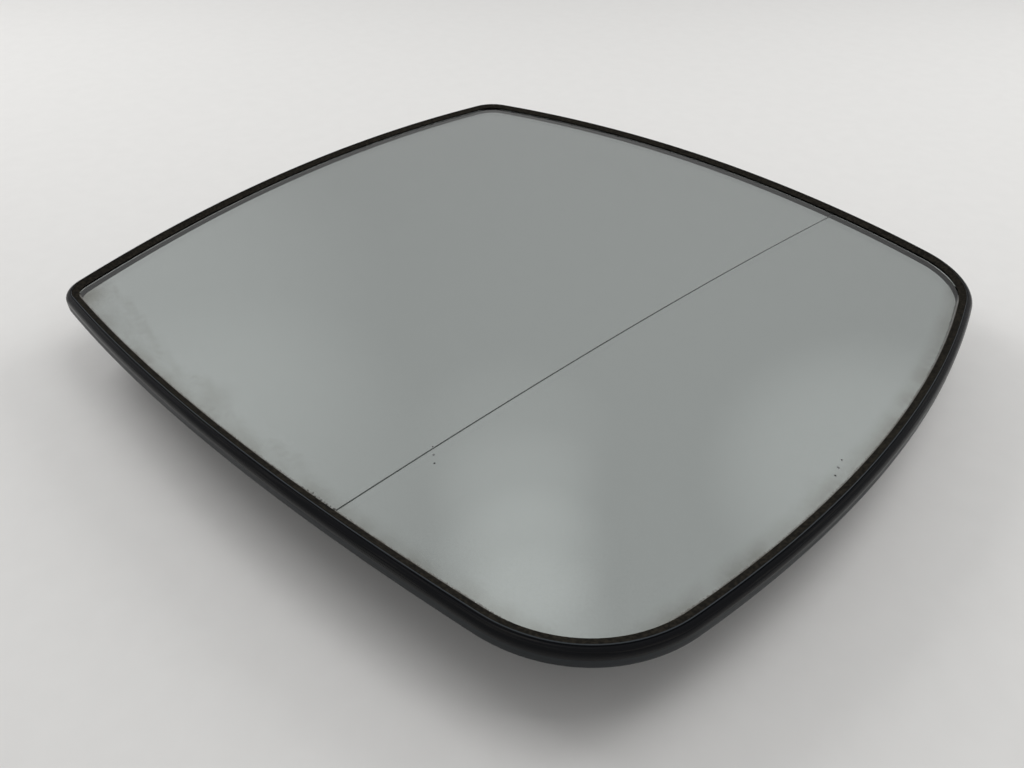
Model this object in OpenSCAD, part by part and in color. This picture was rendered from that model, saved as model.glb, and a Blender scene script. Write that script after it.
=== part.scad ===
// Door mirror glass: a convex glass with a stronger bend in its outer third, held in the
// rim of a moulded carrier. A heating foil and a foam adhesive sheet lie between the two.
// The carrier's back has the ribs, the snap socket with its wire ring, and the two
// guarded terminals of the heater.
// The part lies on the support ring of its back. +X points to the outer side of the car,
// +Y to the top of the mounted mirror, and +Z out of the glass.

/* [Outline] */
// Outer edge, distance from the centre
right_d = 92.2; // [86:0.1:105]
// Outer edge, turn of its normal in degrees
right_turn = 5.5; // [0:0.5:8]
// Outer edge, crown radius
right_r = 256; // [200:1:600]
// Top edge, distance from the centre
top_d = 85.4; // [80:0.1:100]
// Top edge, turn of its normal in degrees
top_turn = 0.5; // [-3:0.5:4]
// Top edge, crown radius
top_r = 352; // [250:1:900]
// Inner edge, distance from the centre
left_d = 87.7; // [82:0.1:100]
// Inner edge, turn of its normal in degrees
left_turn = 10.5; // [4:0.5:12]
// Inner edge, crown radius
left_r = 400; // [300:1:900]
// Bottom edge, distance from the centre
bottom_d = 83.9; // [80:0.1:100]
// Bottom edge, turn of its normal in degrees
bottom_turn = 5; // [0:0.5:7]
// Bottom edge, crown radius
bottom_r = 500; // [350:1:1200]
// Corner radius, top outer
corner_top_outer = 23.5; // [15:0.5:32]
// Corner radius, top inner
corner_top_inner = 8; // [6:0.5:20]
// Corner radius, bottom inner
corner_bottom_inner = 8; // [6:0.5:20]
// Corner radius, bottom outer
corner_bottom_outer = 29.5; // [18:0.5:40]

/* [Glass] */
// Height of the glass's crown above the support face
crown_h = 22; // [20:0.5:30]
// Radius of the spherical main field
glass_r = 1400; // [1000:10:2200]
// Bend radius reached at the outer edge of the wide-angle field
outer_r = 450; // [350:10:900]
// Distance of the dividing line from the centre
line_x = 35.7; // [20:0.1:50]
// Width of the dividing line
line_w = 0.4; // [0.2:0.05:0.8]
// Depth of the dividing line
line_depth = 0.06; // [0.03:0.01:0.15]
// Thickness of the glass
glass_t = 2; // [1.6:0.1:3]
// Ground chamfer round the glass
glass_chamfer = 0.3; // [0.1:0.05:0.5]

/* [Heater and adhesive] */
// Thickness of the heating foil
foil_t = 0.35; // [0.2:0.05:0.6]
// Thickness of the foam adhesive sheet
foam_t = 0.65; // [0.5:0.05:1.2]
// Inset of foil and foam from the outside of the rim
sheet_inset = 7; // [5.5:0.5:12]

/* [Rim] */
// Width of the rim in plan, from its outside to the visible glass
rim_w = 3; // [2.8:0.1:4]
// Rise of the rim's ridge above the glass
ridge_h = 1; // [0.7:0.05:1.6]
// Ridge to outside, in plan
ridge_in = 1.55; // [1.4:0.05:1.8]
// Overlap of the lip over the glass
lip_over = 0.7; // [0.5:0.05:0.9]
// Height of the rim's outer wall below the glass surface
wall_h = 2.4; // [2:0.1:3]
// Gap between glass edge and recess wall
edge_gap = 0.2; // [0.15:0.05:0.3]
// Gap between glass surface and lip
lip_gap = 0.1; // [0.08:0.01:0.2]

/* [Carrier plate] */
// Thickness of the moulded plate
plate_t = 2; // [1.6:0.1:3]
// Thickness of the ribs
rib_t = 1.6; // [1.2:0.1:2.4]
// Number of radial ribs
rib_count = 12; // [8:2:16]
// Height of the ribs at the support ring
rib_h = 7; // [4:0.5:9]
// Height of the ribs at their outer end
rib_end_h = 1.8; // [1:0.1:3]
// Stop of the ribs before the outside of the rim
rib_inset = 9; // [7:0.5:14]
// Sweep of the ribs' lower edge, 1 is straight
rib_sweep = 1.6; // [1:0.1:2.2]
// Radius of the round stiffening rib
hoop_r = 62; // [56:0.5:68]
// Chamfer on the free edges of the round ribs
rib_chamfer = 0.35; // [0.2:0.05:0.5]

/* [Snap socket] */
// Inner radius of the socket
socket_r = 26; // [22:0.1:28]
// Wall of the socket
socket_t = 2.2; // [1.8:0.1:2.8]
// Distance of the finger tips from the support face
tip_z = 0.8; // [0.4:0.1:2]
// Height of the socket's floor above the support face
floor_z = 13; // [11:0.5:14]
// Number of snap fingers
finger_count = 8; // [6:1:10]
// Width of the slots between the fingers
slot_w = 3; // [2:0.1:3.6]
// Depth of the slots
slot_h = 9; // [7:0.5:10]
// Rounds at the end of a slot
slot_round = 0.9; // [0.5:0.05:0.9]
// Height of the inner catch groove
catch_h = 2; // [1.4:0.1:2.4]
// Depth of the inner catch groove
catch_depth = 0.7; // [0.4:0.05:0.9]
// Lead-in chamfer of the socket's mouth
mouth_chamfer = 0.5; // [0.3:0.1:0.8]
// Wire of the retaining ring
wire_d = 1.6; // [1.2:0.1:2]
// Depth of the wire's groove
wire_seat = 0.7; // [0.5:0.05:0.8]
// Opening between the ends of the retaining ring, in degrees
wire_open = 16; // [15:1:30]
// Bend radius of the ring's ends, at the middle of the wire
wire_bend = 2; // [1.6:0.1:2.2]
// Length of the ring's bent ends
wire_tail = 2.5; // [1.5:0.1:4]

/* [Support ring] */
// Outer radius of the support ring
ring_r = 39.5; // [36:0.5:44]
// Wall of the support ring
ring_t = 2.4; // [2:0.1:3.2]
// Number of vent notches in the support ring
notch_count = 4; // [3:1:6]
// Width of a vent notch
notch_w = 10; // [6:0.5:14]
// Depth of a vent notch
notch_h = 5; // [3:0.5:7]
// Rounds at the top of a vent notch
notch_round = 2; // [1:0.1:2.5]

/* [Heater terminals] */
// Distance of the terminals from the centre, towards the inner edge
terminal_x = 56; // [54:0.5:60]
// Spacing of the two terminals
terminal_pitch = 26; // [24:0.5:32]
// Width of a blade
blade_w = 6.3; // [4.8:0.1:6.3]
// Thickness of a blade
blade_t = 0.8; // [0.5:0.05:1]
// Length of a blade below the foil
blade_l = 12; // [10:0.5:14]
// Foot of a terminal, along X
foot_l = 5; // [4:0.1:5.5]
// Window and guard, clear size along X
guard_x = 7; // [6.6:0.1:7.8]
// Window and guard, clear size along Y
guard_y = 11; // [9:0.5:12]
// Wall of a guard
guard_t = 1.4; // [1:0.1:2]
// Height of a guard below the plate
guard_h = 7; // [5:0.5:9]
// Inner corner rounds of window and guard
guard_round = 0.8; // [0.4:0.1:1.4]

/* [Hidden] */

plastic = [0.10, 0.10, 0.11];
glass_grey = [0.58, 0.61, 0.60];
foil_silver = [0.70, 0.68, 0.62];
foam_white = [0.90, 0.90, 0.88];
spring_steel = [0.55, 0.56, 0.58];
tinned_brass = [0.74, 0.70, 0.58];

edge_steps = 12;
corner_steps = 16;
small_steps = 6;
rib_steps = 6;
least_round = 0.8;
inner_rings = [0.8, 0.55, 0.28];
merge = 0.6;
seat_gap = 0.05;
wire_neck = 0.04;
wire_lap = 0.1;
solder_gap = 0.08;
round_fn = 96;

edge_d = [right_d, top_d, left_d, bottom_d];
edge_turn = [right_turn, top_turn, left_turn, bottom_turn];
edge_r = [right_r, top_r, left_r, bottom_r];
corner_r = [corner_top_outer, corner_top_inner, corner_bottom_inner, corner_bottom_outer];

glass_inset = rim_w - lip_over;
recess_inset = glass_inset - edge_gap;
foil_z = -glass_t;
foam_z = foil_z - foil_t;
plate_z = foam_z - foam_t;
back_z = plate_z - plate_t;
wide_k = (1 / outer_r - 1 / glass_r) / (6 * (right_d - line_x));

// The outline is four crowned edges with a round between each pair of neighbours
function way(a) = [cos(a), sin(a)];
function heading(v) = atan2(v.y, v.x);
function after(a, b) = b < a ? b + 360 : b;
function edge_c(i) = way(90 * i + edge_turn[i]) * (edge_d[i] - edge_r[i]);

// Meeting point of two circles, the one that lies furthest along the given direction
function meeting(c1, r1, c2, r2, along) =
    let (span = c2 - c1, d = norm(span), u = span / d)
    let (x = (r1 * r1 - r2 * r2 + d * d) / (2 * d), h = sqrt(r1 * r1 - x * x))
    let (p = c1 + u * x + [-u.y, u.x] * h, q = c1 + u * x - [-u.y, u.x] * h)
    p * along > q * along ? p : q;

function round_r(i, off) = max(corner_r[i] + off, least_round);
function round_c(i, off) =
    let (j = (i + 1) % 4, r = round_r(i, off))
    meeting(edge_c(i), edge_r[i] + off - r, edge_c(j), edge_r[j] + off - r, way(90 * i + 45));

// Points of an arc; an open one leaves its last point to the arc that follows
function arc(c, r, a, b, steps, open = false) =
    [for (k = [0 : open ? steps - 1 : steps]) c + r * way(a + (b - a) * k / steps)];

function edge_arc(i, off) =
    let (c = edge_c(i))
    let (a = heading(round_c((i + 3) % 4, off) - c), b = heading(round_c(i, off) - c))
    arc(c, edge_r[i] + off, a, after(a, b), edge_steps, open = true);

function corner_arc(i, off) =
    let (c = round_c(i, off))
    let (a = heading(c - edge_c(i)), b = heading(c - edge_c((i + 1) % 4)))
    arc(c, round_r(i, off), a, after(a, b), corner_steps, open = true);

// Face of an upright opening with rounded upper corners
function arch(w, h, r) = concat(
    [[-w / 2, -1], [w / 2, -1]],
    arc([w / 2 - r, h - r], r, 0, 90, small_steps),
    arc([r - w / 2, h - r], r, 90, 180, small_steps));

// Rectangle with rounded corners, about its middle
function soft_box(x, y, r) = [for (i = [0 : 3])
    let (sx = i == 0 || i == 3 ? 1 : -1, sy = i < 2 ? 1 : -1)
    each arc([sx * (x / 2 - r), sy * (y / 2 - r)], r, 90 * i, 90 * i + 90, small_steps)];

// Points of the outline, moved outwards by off
function outline(off) = [for (i = [0 : 3]) each concat(edge_arc(i, off), corner_arc(i, off))];

// Height of the glass surface: a sphere, with a steadily growing extra bend past the line
function crown(p) =
    crown_h - glass_r + sqrt(glass_r * glass_r - p.x * p.x - p.y * p.y)
    - wide_k * pow(max(0, p.x - line_x), 3);

function lifted(p, dz) = [p.x, p.y, crown(p) + dz];
function ring(off, dz) = [for (p = outline(off)) lifted(p, dz)];
function scaled_ring(off, s, dz) = [for (p = outline(off)) lifted(p * s, dz)];
function turned(v) = [for (i = [len(v) - 1 : -1 : 0]) v[i]];

// Rings from the middle of a curved face out to the ring at off
function face_rings(off, dz) = concat([for (s = turned(inner_rings)) scaled_ring(off, s, dz)], [ring(off, dz)]);

// Closed solid from a stack of rings that starts and ends in a middle point. Each strip is cut
// along the same diagonal on both faces of a sheet, so that stacked sheets lie flush.
module ring_solid(rings, first_z, last_z) {
    n = len(rings[0]);
    count = len(rings);
    points = concat([lifted([0, 0], first_z)], [for (r = rings) each r], [lifted([0, 0], last_z)]);
    last = len(points) - 1;
    first_fan = [for (j = [0 : n - 1]) [0, 1 + (j + 1) % n, 1 + j]];
    last_fan = [for (j = [0 : n - 1]) [last, last - n + j, last - n + (j + 1) % n]];
    strips = [for (k = [0 : count - 2]) for (j = [0 : n - 1])
        let (a = 1 + k * n + j, b = 1 + k * n + (j + 1) % n)
        each norm(rings[k][j]) < norm(rings[k + 1][j])
            ? [[a, b, b + n], [a, b + n, a + n]]
            : [[a, b, a + n], [b, b + n, a + n]]];
    polyhedron(points = points, faces = concat(first_fan, strips, last_fan), convexity = 6);
}

// Sheet that follows the glass, between two depths
module curved_sheet(off, top, bottom) {
    ring_solid(concat(face_rings(off, top), turned(face_rings(off, bottom))), top, bottom);
}

// The mirror itself, with chamfered edges and the fine line before its wide-angle field
module mirror_glass() {
    edge = [ring(-glass_inset - glass_chamfer, 0), ring(-glass_inset, -glass_chamfer),
            ring(-glass_inset, foil_z + glass_chamfer), ring(-glass_inset - glass_chamfer, foil_z)];
    color(glass_grey)
        difference() {
            ring_solid(concat(face_rings(-sheet_inset, 0), edge, turned(face_rings(-sheet_inset, foil_z))),
                       0, foil_z);
            dividing_line();
        }
}

module dividing_line() {
    reach = max(top_d, bottom_d) - rim_w + lip_over / 2;
    stops = [for (k = [-8 : 8]) reach * k / 8];
    floor_line = [for (y = stops) [y, crown([line_x, y]) - line_depth]];
    translate([line_x - line_w / 2, 0, 0])
        rotate([90, 0, 90])
            linear_extrude(line_w)
                polygon(concat(floor_line, [[reach, crown_h + 1], [-reach, crown_h + 1]]));
}

module heating_foil() {
    color(foil_silver) curved_sheet(-sheet_inset, foil_z, foam_z);
}

module foam_adhesive() {
    color(foam_white)
        difference() {
            curved_sheet(-sheet_inset, foam_z, plate_z);
            for (side = [-1, 1]) terminal_window(side);
        }
}

// Section of the rim as [inset, height] pairs, from the recess floor over the lip to the back
function rim_section() = [
    [recess_inset, plate_z],
    [recess_inset, lip_gap],
    [rim_w, lip_gap],
    [rim_w, lip_gap + 0.12],
    [ridge_in + 0.2, ridge_h - 0.12],
    [ridge_in, ridge_h],
    [ridge_in - 0.18, ridge_h - 0.22],
    [ridge_in - 0.4, ridge_h - 0.1],
    [ridge_in * 0.5, ridge_h - 0.2],
    [ridge_in * 0.24, ridge_h - 0.46],
    [ridge_in * 0.06, ridge_h - 0.9],
    [0, ridge_h - 1.4],
    [0.05, -wall_h],
    [0.25, -wall_h - 0.35],
    [0.55 * recess_inset, (back_z - wall_h) / 2 - 0.5],
    [recess_inset, back_z + 0.35],
    [rim_w + 0.4, back_z]];

module moulded_plate() {
    rim = [for (s = rim_section()) ring(-s.x, s.y)];
    ring_solid(concat(face_rings(-sheet_inset, plate_z), rim, turned(face_rings(-sheet_inset, back_z))),
               plate_z, back_z);
}

// Distance from the centre to the outline along a direction, for the end of a rib
function reach_at(a) =
    min([for (i = [0 : 3]) let (c = edge_c(i), u = way(a), along = c * u)
        let (half = sqrt(edge_r[i] * edge_r[i] - c * c + along * along))
        along + half]);

function rib_end(a) = reach_at(a) - rib_inset;

// One radial rib: its top follows the inside of the plate, its lower edge sweeps up outwards
module radial_rib(a) {
    inner = ring_r - ring_t / 2;
    outer = rib_end(a);
    shares = [for (k = [0 : rib_steps]) k / rib_steps];
    top_line = [for (s = shares) rib_point(a, inner + (outer - inner) * s, -merge)];
    low_line = [for (s = shares)
        rib_point(a, inner + (outer - inner) * s, rib_end_h + (rib_h - rib_end_h) * pow(1 - s, rib_sweep))];
    rotate([0, 0, a])
        rotate([90, 0, 0])
            linear_extrude(rib_t, center = true)
                polygon(concat(low_line, turned(top_line)));
}

// Point of a rib's face, at a distance from the centre and a depth below the plate
function rib_point(a, r, depth) = [r, crown(way(a) * r) + back_z - depth];

// Short ribs between the socket's root and the support ring
module inner_rib(a) {
    inner = socket_r + socket_t / 2;
    outer = ring_r - ring_t / 2;
    top = crown([outer, 0]) + back_z + merge / 2;
    low = tip_z + slot_h + 1;
    rotate([0, 0, a])
        translate([inner, -rib_t / 2, low])
            cube([outer - inner, rib_t, top - low]);
}

// Turned rib between two radii, with a chamfered lower edge
module round_rib(inner, outer, low, top) {
    c = rib_chamfer;
    rotate_extrude($fn = round_fn)
        polygon([
            [inner, top],
            [inner, low + c],
            [inner + c, low],
            [outer - c, low],
            [outer, low + c],
            [outer, top]]);
}

module hoop_rib() {
    root = crown([hoop_r, 0]) + back_z;
    round_rib(hoop_r - rib_t / 2, hoop_r + rib_t / 2, root - rib_end_h, root + merge / 2);
}

// Socket, turned round its axis: floor, wall, catch groove, wire groove and lead-in
module socket_blank() {
    out = socket_r + socket_t;
    root = crown([out, 0]) + back_z + merge / 2;
    catch_z = wire_z() + wire_d / 2 + 1;
    side = acos((wire_r() - out) / (wire_d / 2));
    groove = arc([wire_r(), wire_z()], wire_d / 2, 180 + side, 180 - side, small_steps);
    rotate_extrude($fn = round_fn)
        polygon([
            [0, floor_z],
            [socket_r, floor_z],
            [socket_r, catch_z + catch_h],
            [socket_r + catch_depth, catch_z + catch_h - catch_depth],
            [socket_r + catch_depth, catch_z + catch_depth],
            [socket_r, catch_z],
            [socket_r, tip_z + mouth_chamfer],
            [socket_r + mouth_chamfer, tip_z],
            [out, tip_z],
            each groove,
            [out, root],
            [0, root]]);
}

// Height and radius of the retaining ring's wire, at its middle
function wire_z() = tip_z + 1 + wire_d / 2;
function wire_r() = socket_r + socket_t - wire_seat + wire_d / 2;

module finger_slots() {
    for (k = [0 : finger_count - 1])
        rotate([0, 0, 360 * (k + 0.5) / finger_count])
            translate([socket_r - 1, 0, tip_z])
                rotate([90, 0, 90])
                    linear_extrude(socket_t + 2)
                        polygon(arch(slot_w, slot_h, slot_round));
}

module support_ring() {
    difference() {
        round_rib(ring_r - ring_t, ring_r, 0, crown([ring_r, 0]) + back_z + merge / 2);
        for (k = [0 : notch_count - 1])
            rotate([0, 0, 360 * (k + 0.5) / notch_count])
                translate([ring_r - ring_t - 1, 0, 0])
                    rotate([90, 0, 90])
                        linear_extrude(ring_t + 2)
                            polygon(arch(notch_w, notch_h, notch_round));
    }
}

// Place of a terminal: +1 is the upper one, -1 the lower one
function terminal_at(side) = [-terminal_x, side * terminal_pitch / 2];

// Clear window of a terminal, cut from the back up to the foil
module terminal_window(side) {
    p = terminal_at(side);
    translate([p.x, p.y, crown(p) + back_z - guard_h - 1])
        linear_extrude(guard_h + 1 + (foam_z + plate_z) / 2 - back_z + foam_t)
            polygon(soft_box(guard_x, guard_y, guard_round));
}

module terminal_guard(side) {
    p = terminal_at(side);
    translate([p.x, p.y, crown(p) + back_z - guard_h])
        linear_extrude(guard_h + merge)
            polygon(soft_box(guard_x + 2 * guard_t, guard_y + 2 * guard_t, guard_round + guard_t));
}

// Backing of the glass: plate and rim, ribs, socket, support ring and guards in one moulding
module carrier_plate() {
    color(plastic)
        difference() {
            union() {
                moulded_plate();
                for (k = [0 : rib_count - 1]) radial_rib(360 * (k + 0.5) / rib_count);
                for (k = [0 : finger_count - 1]) inner_rib(360 * k / finger_count);
                hoop_rib();
                socket_blank();
                support_ring();
                for (side = [-1, 1]) terminal_guard(side);
            }
            finger_slots();
            for (side = [-1, 1]) terminal_window(side);
        }
}

// Open ring of spring wire that presses the fingers inwards, with its ends bent outwards
module retaining_ring() {
    color(spring_steel)
        translate([0, 0, wire_z()]) {
            rotate([0, 0, wire_open / 2])
                rotate_extrude(angle = 360 - wire_open, $fn = round_fn)
                    wire_section(wire_r(), 0);
            for (side = [0, 180])
                rotate([side, 0, 0])
                    rotate([0, 0, wire_open / 2])
                        wire_end();
        }
}

// Section of the wire, which is drawn a little thinner at each bend
module wire_section(r, bends) {
    translate([r, 0])
        circle(d = wire_d - 2 * seat_gap - bends * wire_neck, $fn = 24);
}

// One end of the ring: a quarter bend, which starts a little inside the ring, and a straight tail
module wire_end() {
    translate([wire_r() + wire_bend, wire_lap, 0])
        rotate([0, 0, 180])
            rotate_extrude(angle = 90, $fn = round_fn)
                wire_section(wire_bend, 1);
    translate([wire_r() + wire_bend - wire_lap, wire_lap - wire_bend, 0])
        rotate([0, 90, 0])
            linear_extrude(wire_tail + wire_lap)
                wire_section(0, 2);
}

// Blade terminal: a foot on the foil and a blade that stands in the guard
module terminal(side) {
    p = terminal_at(side);
    color(tinned_brass)
        translate([p.x, p.y, crown(p) + foam_z - solder_gap])
            rotate([-asin(p.y / glass_r), asin(p.x / glass_r), 0]) {
                translate([-foot_l / 2, -blade_w / 2, -blade_t])
                    cube([foot_l, blade_w, blade_t]);
                translate([-blade_t / 2, 0, -blade_l])
                    rotate([90, 0, 90])
                        linear_extrude(blade_t)
                            blade_face();
            }
}

// Face of a blade, with its lead-in corners and the locking hole
module blade_face() {
    difference() {
        polygon([
            [-blade_w / 2, blade_l - blade_t / 2],
            [-blade_w / 2, blade_t],
            [-blade_w / 2 + blade_t, 0],
            [blade_w / 2 - blade_t, 0],
            [blade_w / 2, blade_t],
            [blade_w / 2, blade_l - blade_t / 2]]);
        translate([0, blade_w / 2])
            circle(d = blade_w / 4, $fn = 24);
    }
}

module heater_terminal_upper() { terminal(1); }
module heater_terminal_lower() { terminal(-1); }

mirror_glass();
heating_foil();
foam_adhesive();
carrier_plate();
retaining_ring();
heater_terminal_upper();
heater_terminal_lower();
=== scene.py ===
import logging
import math
from collections.abc import Callable, Iterator
from contextlib import contextmanager
from dataclasses import dataclass, field
from enum import Enum
from functools import cached_property

import bmesh
import bpy
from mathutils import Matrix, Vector


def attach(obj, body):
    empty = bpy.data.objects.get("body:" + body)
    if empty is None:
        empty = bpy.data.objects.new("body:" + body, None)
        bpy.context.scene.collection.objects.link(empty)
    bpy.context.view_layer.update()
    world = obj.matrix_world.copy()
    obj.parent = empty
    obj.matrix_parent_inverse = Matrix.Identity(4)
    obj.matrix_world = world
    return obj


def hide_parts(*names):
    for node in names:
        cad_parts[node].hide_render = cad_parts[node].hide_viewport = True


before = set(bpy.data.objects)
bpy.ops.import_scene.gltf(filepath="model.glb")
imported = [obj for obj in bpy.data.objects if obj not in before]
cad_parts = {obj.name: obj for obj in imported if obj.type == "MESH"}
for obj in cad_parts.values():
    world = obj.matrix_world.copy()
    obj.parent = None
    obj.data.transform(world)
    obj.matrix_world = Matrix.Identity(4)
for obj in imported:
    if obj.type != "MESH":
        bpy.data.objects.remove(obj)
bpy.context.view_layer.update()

# Pieces are drawn in millimetres and set to metres when they are finished
MM = 0.001
FULL_TURN = math.tau
# Points nearer than this are one point, in millimetres
MERGE = 0.001
# Angle between faces above which an edge of a fresh blank gets its chamfer or round
SHARP_EDGE = math.radians(60)
# A face whose normal has less than this along Z looks down
LOOKS_DOWN = -0.5
# Steps of a round at a corner
ROUND_STEPS = 6
log = logging.getLogger("door_mirror_glass")


class Pick(Enum):
    """What a selection by place takes."""

    VERTS = "VERT"
    EDGES = "EDGE"
    FACES = "FACE"


class Cut(Enum):
    """How one solid changes another."""

    JOIN = "UNION"
    REMOVE = "DIFFERENCE"


class Zone(Enum):
    """Parts of the carrier that differ in their finish, as values of a mesh attribute."""

    RECESS = 0.0
    SLOPE = 1.0
    RIDGE = 2.0
    SHOULDER = 3.0
    WALL = 4.0
    BACK = 5.0


class GlassFace(Enum):
    """Parts of the glass that differ in their finish, as numbers of its material slots."""

    FRONT = 0
    COATING = 1
    LINE = 2
    EDGE = 3


# Modelling steps


def alone(obj: bpy.types.Object) -> None:
    """Selects one object and makes it the active one.

    Args:
        obj: The object to work on.
    """
    bpy.ops.object.select_all(action="DESELECT")
    obj.select_set(True)
    bpy.context.view_layer.objects.active = obj


@contextmanager
def editing(obj: bpy.types.Object) -> Iterator[None]:
    """Opens an object in edit mode with all of it selected, and closes it again.

    Args:
        obj: The mesh object to edit.

    Yields:
        Nothing; the mesh is open while the block runs.
    """
    alone(obj)
    bpy.ops.object.mode_set(mode="EDIT")
    bpy.ops.mesh.select_mode(type="VERT")
    bpy.ops.mesh.select_all(action="SELECT")
    try:
        yield
    finally:
        bpy.ops.object.mode_set(mode="OBJECT")


def pick(obj: bpy.types.Object, kind: Pick, test: Callable[[Vector, Vector], bool]) -> int:
    """Selects the parts of the open mesh that pass a test of their place and direction.

    Args:
        obj: The object in edit mode.
        kind: Whether vertices, edges or faces are taken.
        test: Gets the middle of each part, and its normal or, of an edge, its span.

    Returns:
        How many were selected.
    """
    bpy.ops.mesh.select_all(action="DESELECT")
    bpy.ops.mesh.select_mode(type=kind.value)
    bm = bmesh.from_edit_mesh(obj.data)
    bm.normal_update()
    count = 0
    for part in {Pick.VERTS: bm.verts, Pick.EDGES: bm.edges, Pick.FACES: bm.faces}[kind]:
        if kind is Pick.VERTS:
            place, way = part.co, part.normal
        elif kind is Pick.FACES:
            place, way = part.calc_center_median(), part.normal
        else:
            place = (part.verts[0].co + part.verts[1].co) / 2
            way = part.verts[1].co - part.verts[0].co
        if test(place, way):
            part.select_set(True)
            count += 1
    bm.select_flush_mode()
    bmesh.update_edit_mesh(obj.data)
    return count


def push(rise: float) -> None:
    """Extrudes the selected edges straight up, or down with a negative rise."""
    bpy.ops.mesh.extrude_edges_move(TRANSFORM_OT_translate={"value": (0, 0, rise)})


def bevel(offset: float, segments: int = 2) -> None:
    """Rounds the selected edges of the open mesh."""
    bpy.ops.mesh.bevel(offset=offset, segments=segments, profile=0.5, affect="EDGES")


def modify(obj: bpy.types.Object, kind: str, **settings: object) -> None:
    """Adds a modifier with its settings and applies it.

    Args:
        obj: The object that it changes.
        kind: The modifier's type.
        **settings: Its values by name.
    """
    alone(obj)
    modifier = obj.modifiers.new(kind.lower(), kind)
    for name, value in settings.items():
        setattr(modifier, name, value)
    bpy.ops.object.modifier_apply(modifier=modifier.name)


def combine(base: bpy.types.Object, tool: bpy.types.Object, how: Cut, touching: bool = False) -> None:
    """Joins a solid to another, or cuts it out, and removes the tool.

    Args:
        base: The solid that changes.
        tool: The solid that is added or cut out.
        how: Join or remove.
        touching: True if parts of the tool touch or overlap each other, which takes longer.
    """
    modify(base, "BOOLEAN", operation=how.value, solver="EXACT", object=tool, use_self=touching)
    bpy.data.objects.remove(tool)


def gather(name: str, parts: list[bpy.types.Object]) -> bpy.types.Object:
    """Puts several meshes into one object.

    Args:
        name: Name of the result.
        parts: The objects; the first one keeps the mesh.

    Returns:
        The joined object.
    """
    alone(parts[0])
    for part in parts:
        part.select_set(True)
    bpy.ops.object.join()
    parts[0].name = name
    return parts[0]


def turn(obj: bpy.types.Object, angle: float) -> bpy.types.Object:
    """Turns an object round the vertical axis through the middle of the part.

    Args:
        obj: The object, with its place in its mesh.
        angle: The turn in radians.

    Returns:
        The same object.
    """
    alone(obj)
    obj.rotation_euler = (0, 0, angle)
    bpy.ops.object.transform_apply(location=False, rotation=True, scale=False)
    return obj


def turned_copies(obj: bpy.types.Object, count: int) -> list[bpy.types.Object]:
    """Spreads copies of an object evenly round the vertical axis, each with its own mesh.

    Args:
        obj: The first one, at angle zero. It is turned by half a step itself.
        count: How many there are in all.

    Returns:
        All of them, with the given one as the last.
    """
    copies = []
    for k in range(1, count):
        alone(obj)
        bpy.ops.object.duplicate(linked=False)
        copies.append(turn(bpy.context.object, FULL_TURN * (k + 0.5) / count))
    return [*copies, turn(obj, FULL_TURN / 2 / count)]


def block(name: str, low: tuple[float, float, float], high: tuple[float, float, float]) -> bpy.types.Object:
    """Adds a block between two corners, as a start for ribs, guards and cutters.

    Args:
        name: Name of the block.
        low: Its lowest corner in millimetres.
        high: Its highest corner in millimetres.

    Returns:
        The block, with its place in its mesh.
    """
    middle = [(a + b) / 2 for a, b in zip(low, high)]
    bpy.ops.mesh.primitive_cube_add(size=1, location=middle, scale=[b - a for a, b in zip(low, high)])
    obj = bpy.context.object
    obj.name = name
    bpy.ops.object.transform_apply(location=True, rotation=True, scale=True)
    return obj


def soft_box(name: str, middle: Vector, x: float, y: float, low: float, high: float,
             corner: float) -> bpy.types.Object:
    """Adds an upright block whose four long edges are rounded.

    Args:
        name: Name of the block.
        middle: Its middle in plan.
        x: Size along X in millimetres.
        y: Size along Y.
        low: Height of its lower end.
        high: Height of its upper end.
        corner: Radius of the rounds.

    Returns:
        The block.
    """
    box = block(name, (middle.x - x / 2, middle.y - y / 2, low), (middle.x + x / 2, middle.y + y / 2, high))
    with editing(box):
        pick(box, Pick.EDGES, lambda place, span: abs(span.z) > abs(span.x) + abs(span.y))
        bevel(corner, ROUND_STEPS)
    return box


def drawn_line(name: str, points: list[tuple[float, float, float]], closed: bool) -> bpy.types.Object:
    """Draws a line point by point, by extruding its last vertex.

    Args:
        name: Name of the line.
        points: Its points in millimetres.
        closed: True if the last point joins the first.

    Returns:
        An object with the line's edges.
    """
    bpy.ops.mesh.primitive_plane_add(size=1)
    obj = bpy.context.object
    obj.name = name
    ends = Vector(points[0]), Vector(points[-1])
    with editing(obj):
        bpy.ops.mesh.merge(type="CENTER")
        bpy.ops.transform.translate(value=points[0])
        for here, there in zip(points, points[1:]):
            step = [b - a for a, b in zip(here, there)]
            bpy.ops.mesh.extrude_vertices_move(TRANSFORM_OT_translate={"value": step})
        if closed:
            pick(obj, Pick.VERTS, lambda place, way: min((place - end).length for end in ends) < 1e-4)
            bpy.ops.mesh.edge_face_add()
    return obj


def turned_solid(name: str, section: list[tuple[float, float]], steps: int) -> bpy.types.Object:
    """Spins a section round the vertical axis into a closed solid.

    Args:
        name: Name of the solid.
        section: Points as radius and height. It is a closed loop unless both ends lie on the axis.
        steps: Steps of the full turn.

    Returns:
        The turned solid with its faces outwards.
    """
    on_axis = section[0][0] == 0 and section[-1][0] == 0
    obj = drawn_line(name, [(r, 0.0, z) for r, z in section], not on_axis)
    with editing(obj):
        bpy.ops.mesh.spin(steps=steps, angle=FULL_TURN, center=(0, 0, 0), axis=(0, 0, 1))
        bpy.ops.mesh.select_all(action="SELECT")
        bpy.ops.mesh.remove_doubles(threshold=MERGE)
        bpy.ops.mesh.normals_make_consistent(inside=False)
    return obj


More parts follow.
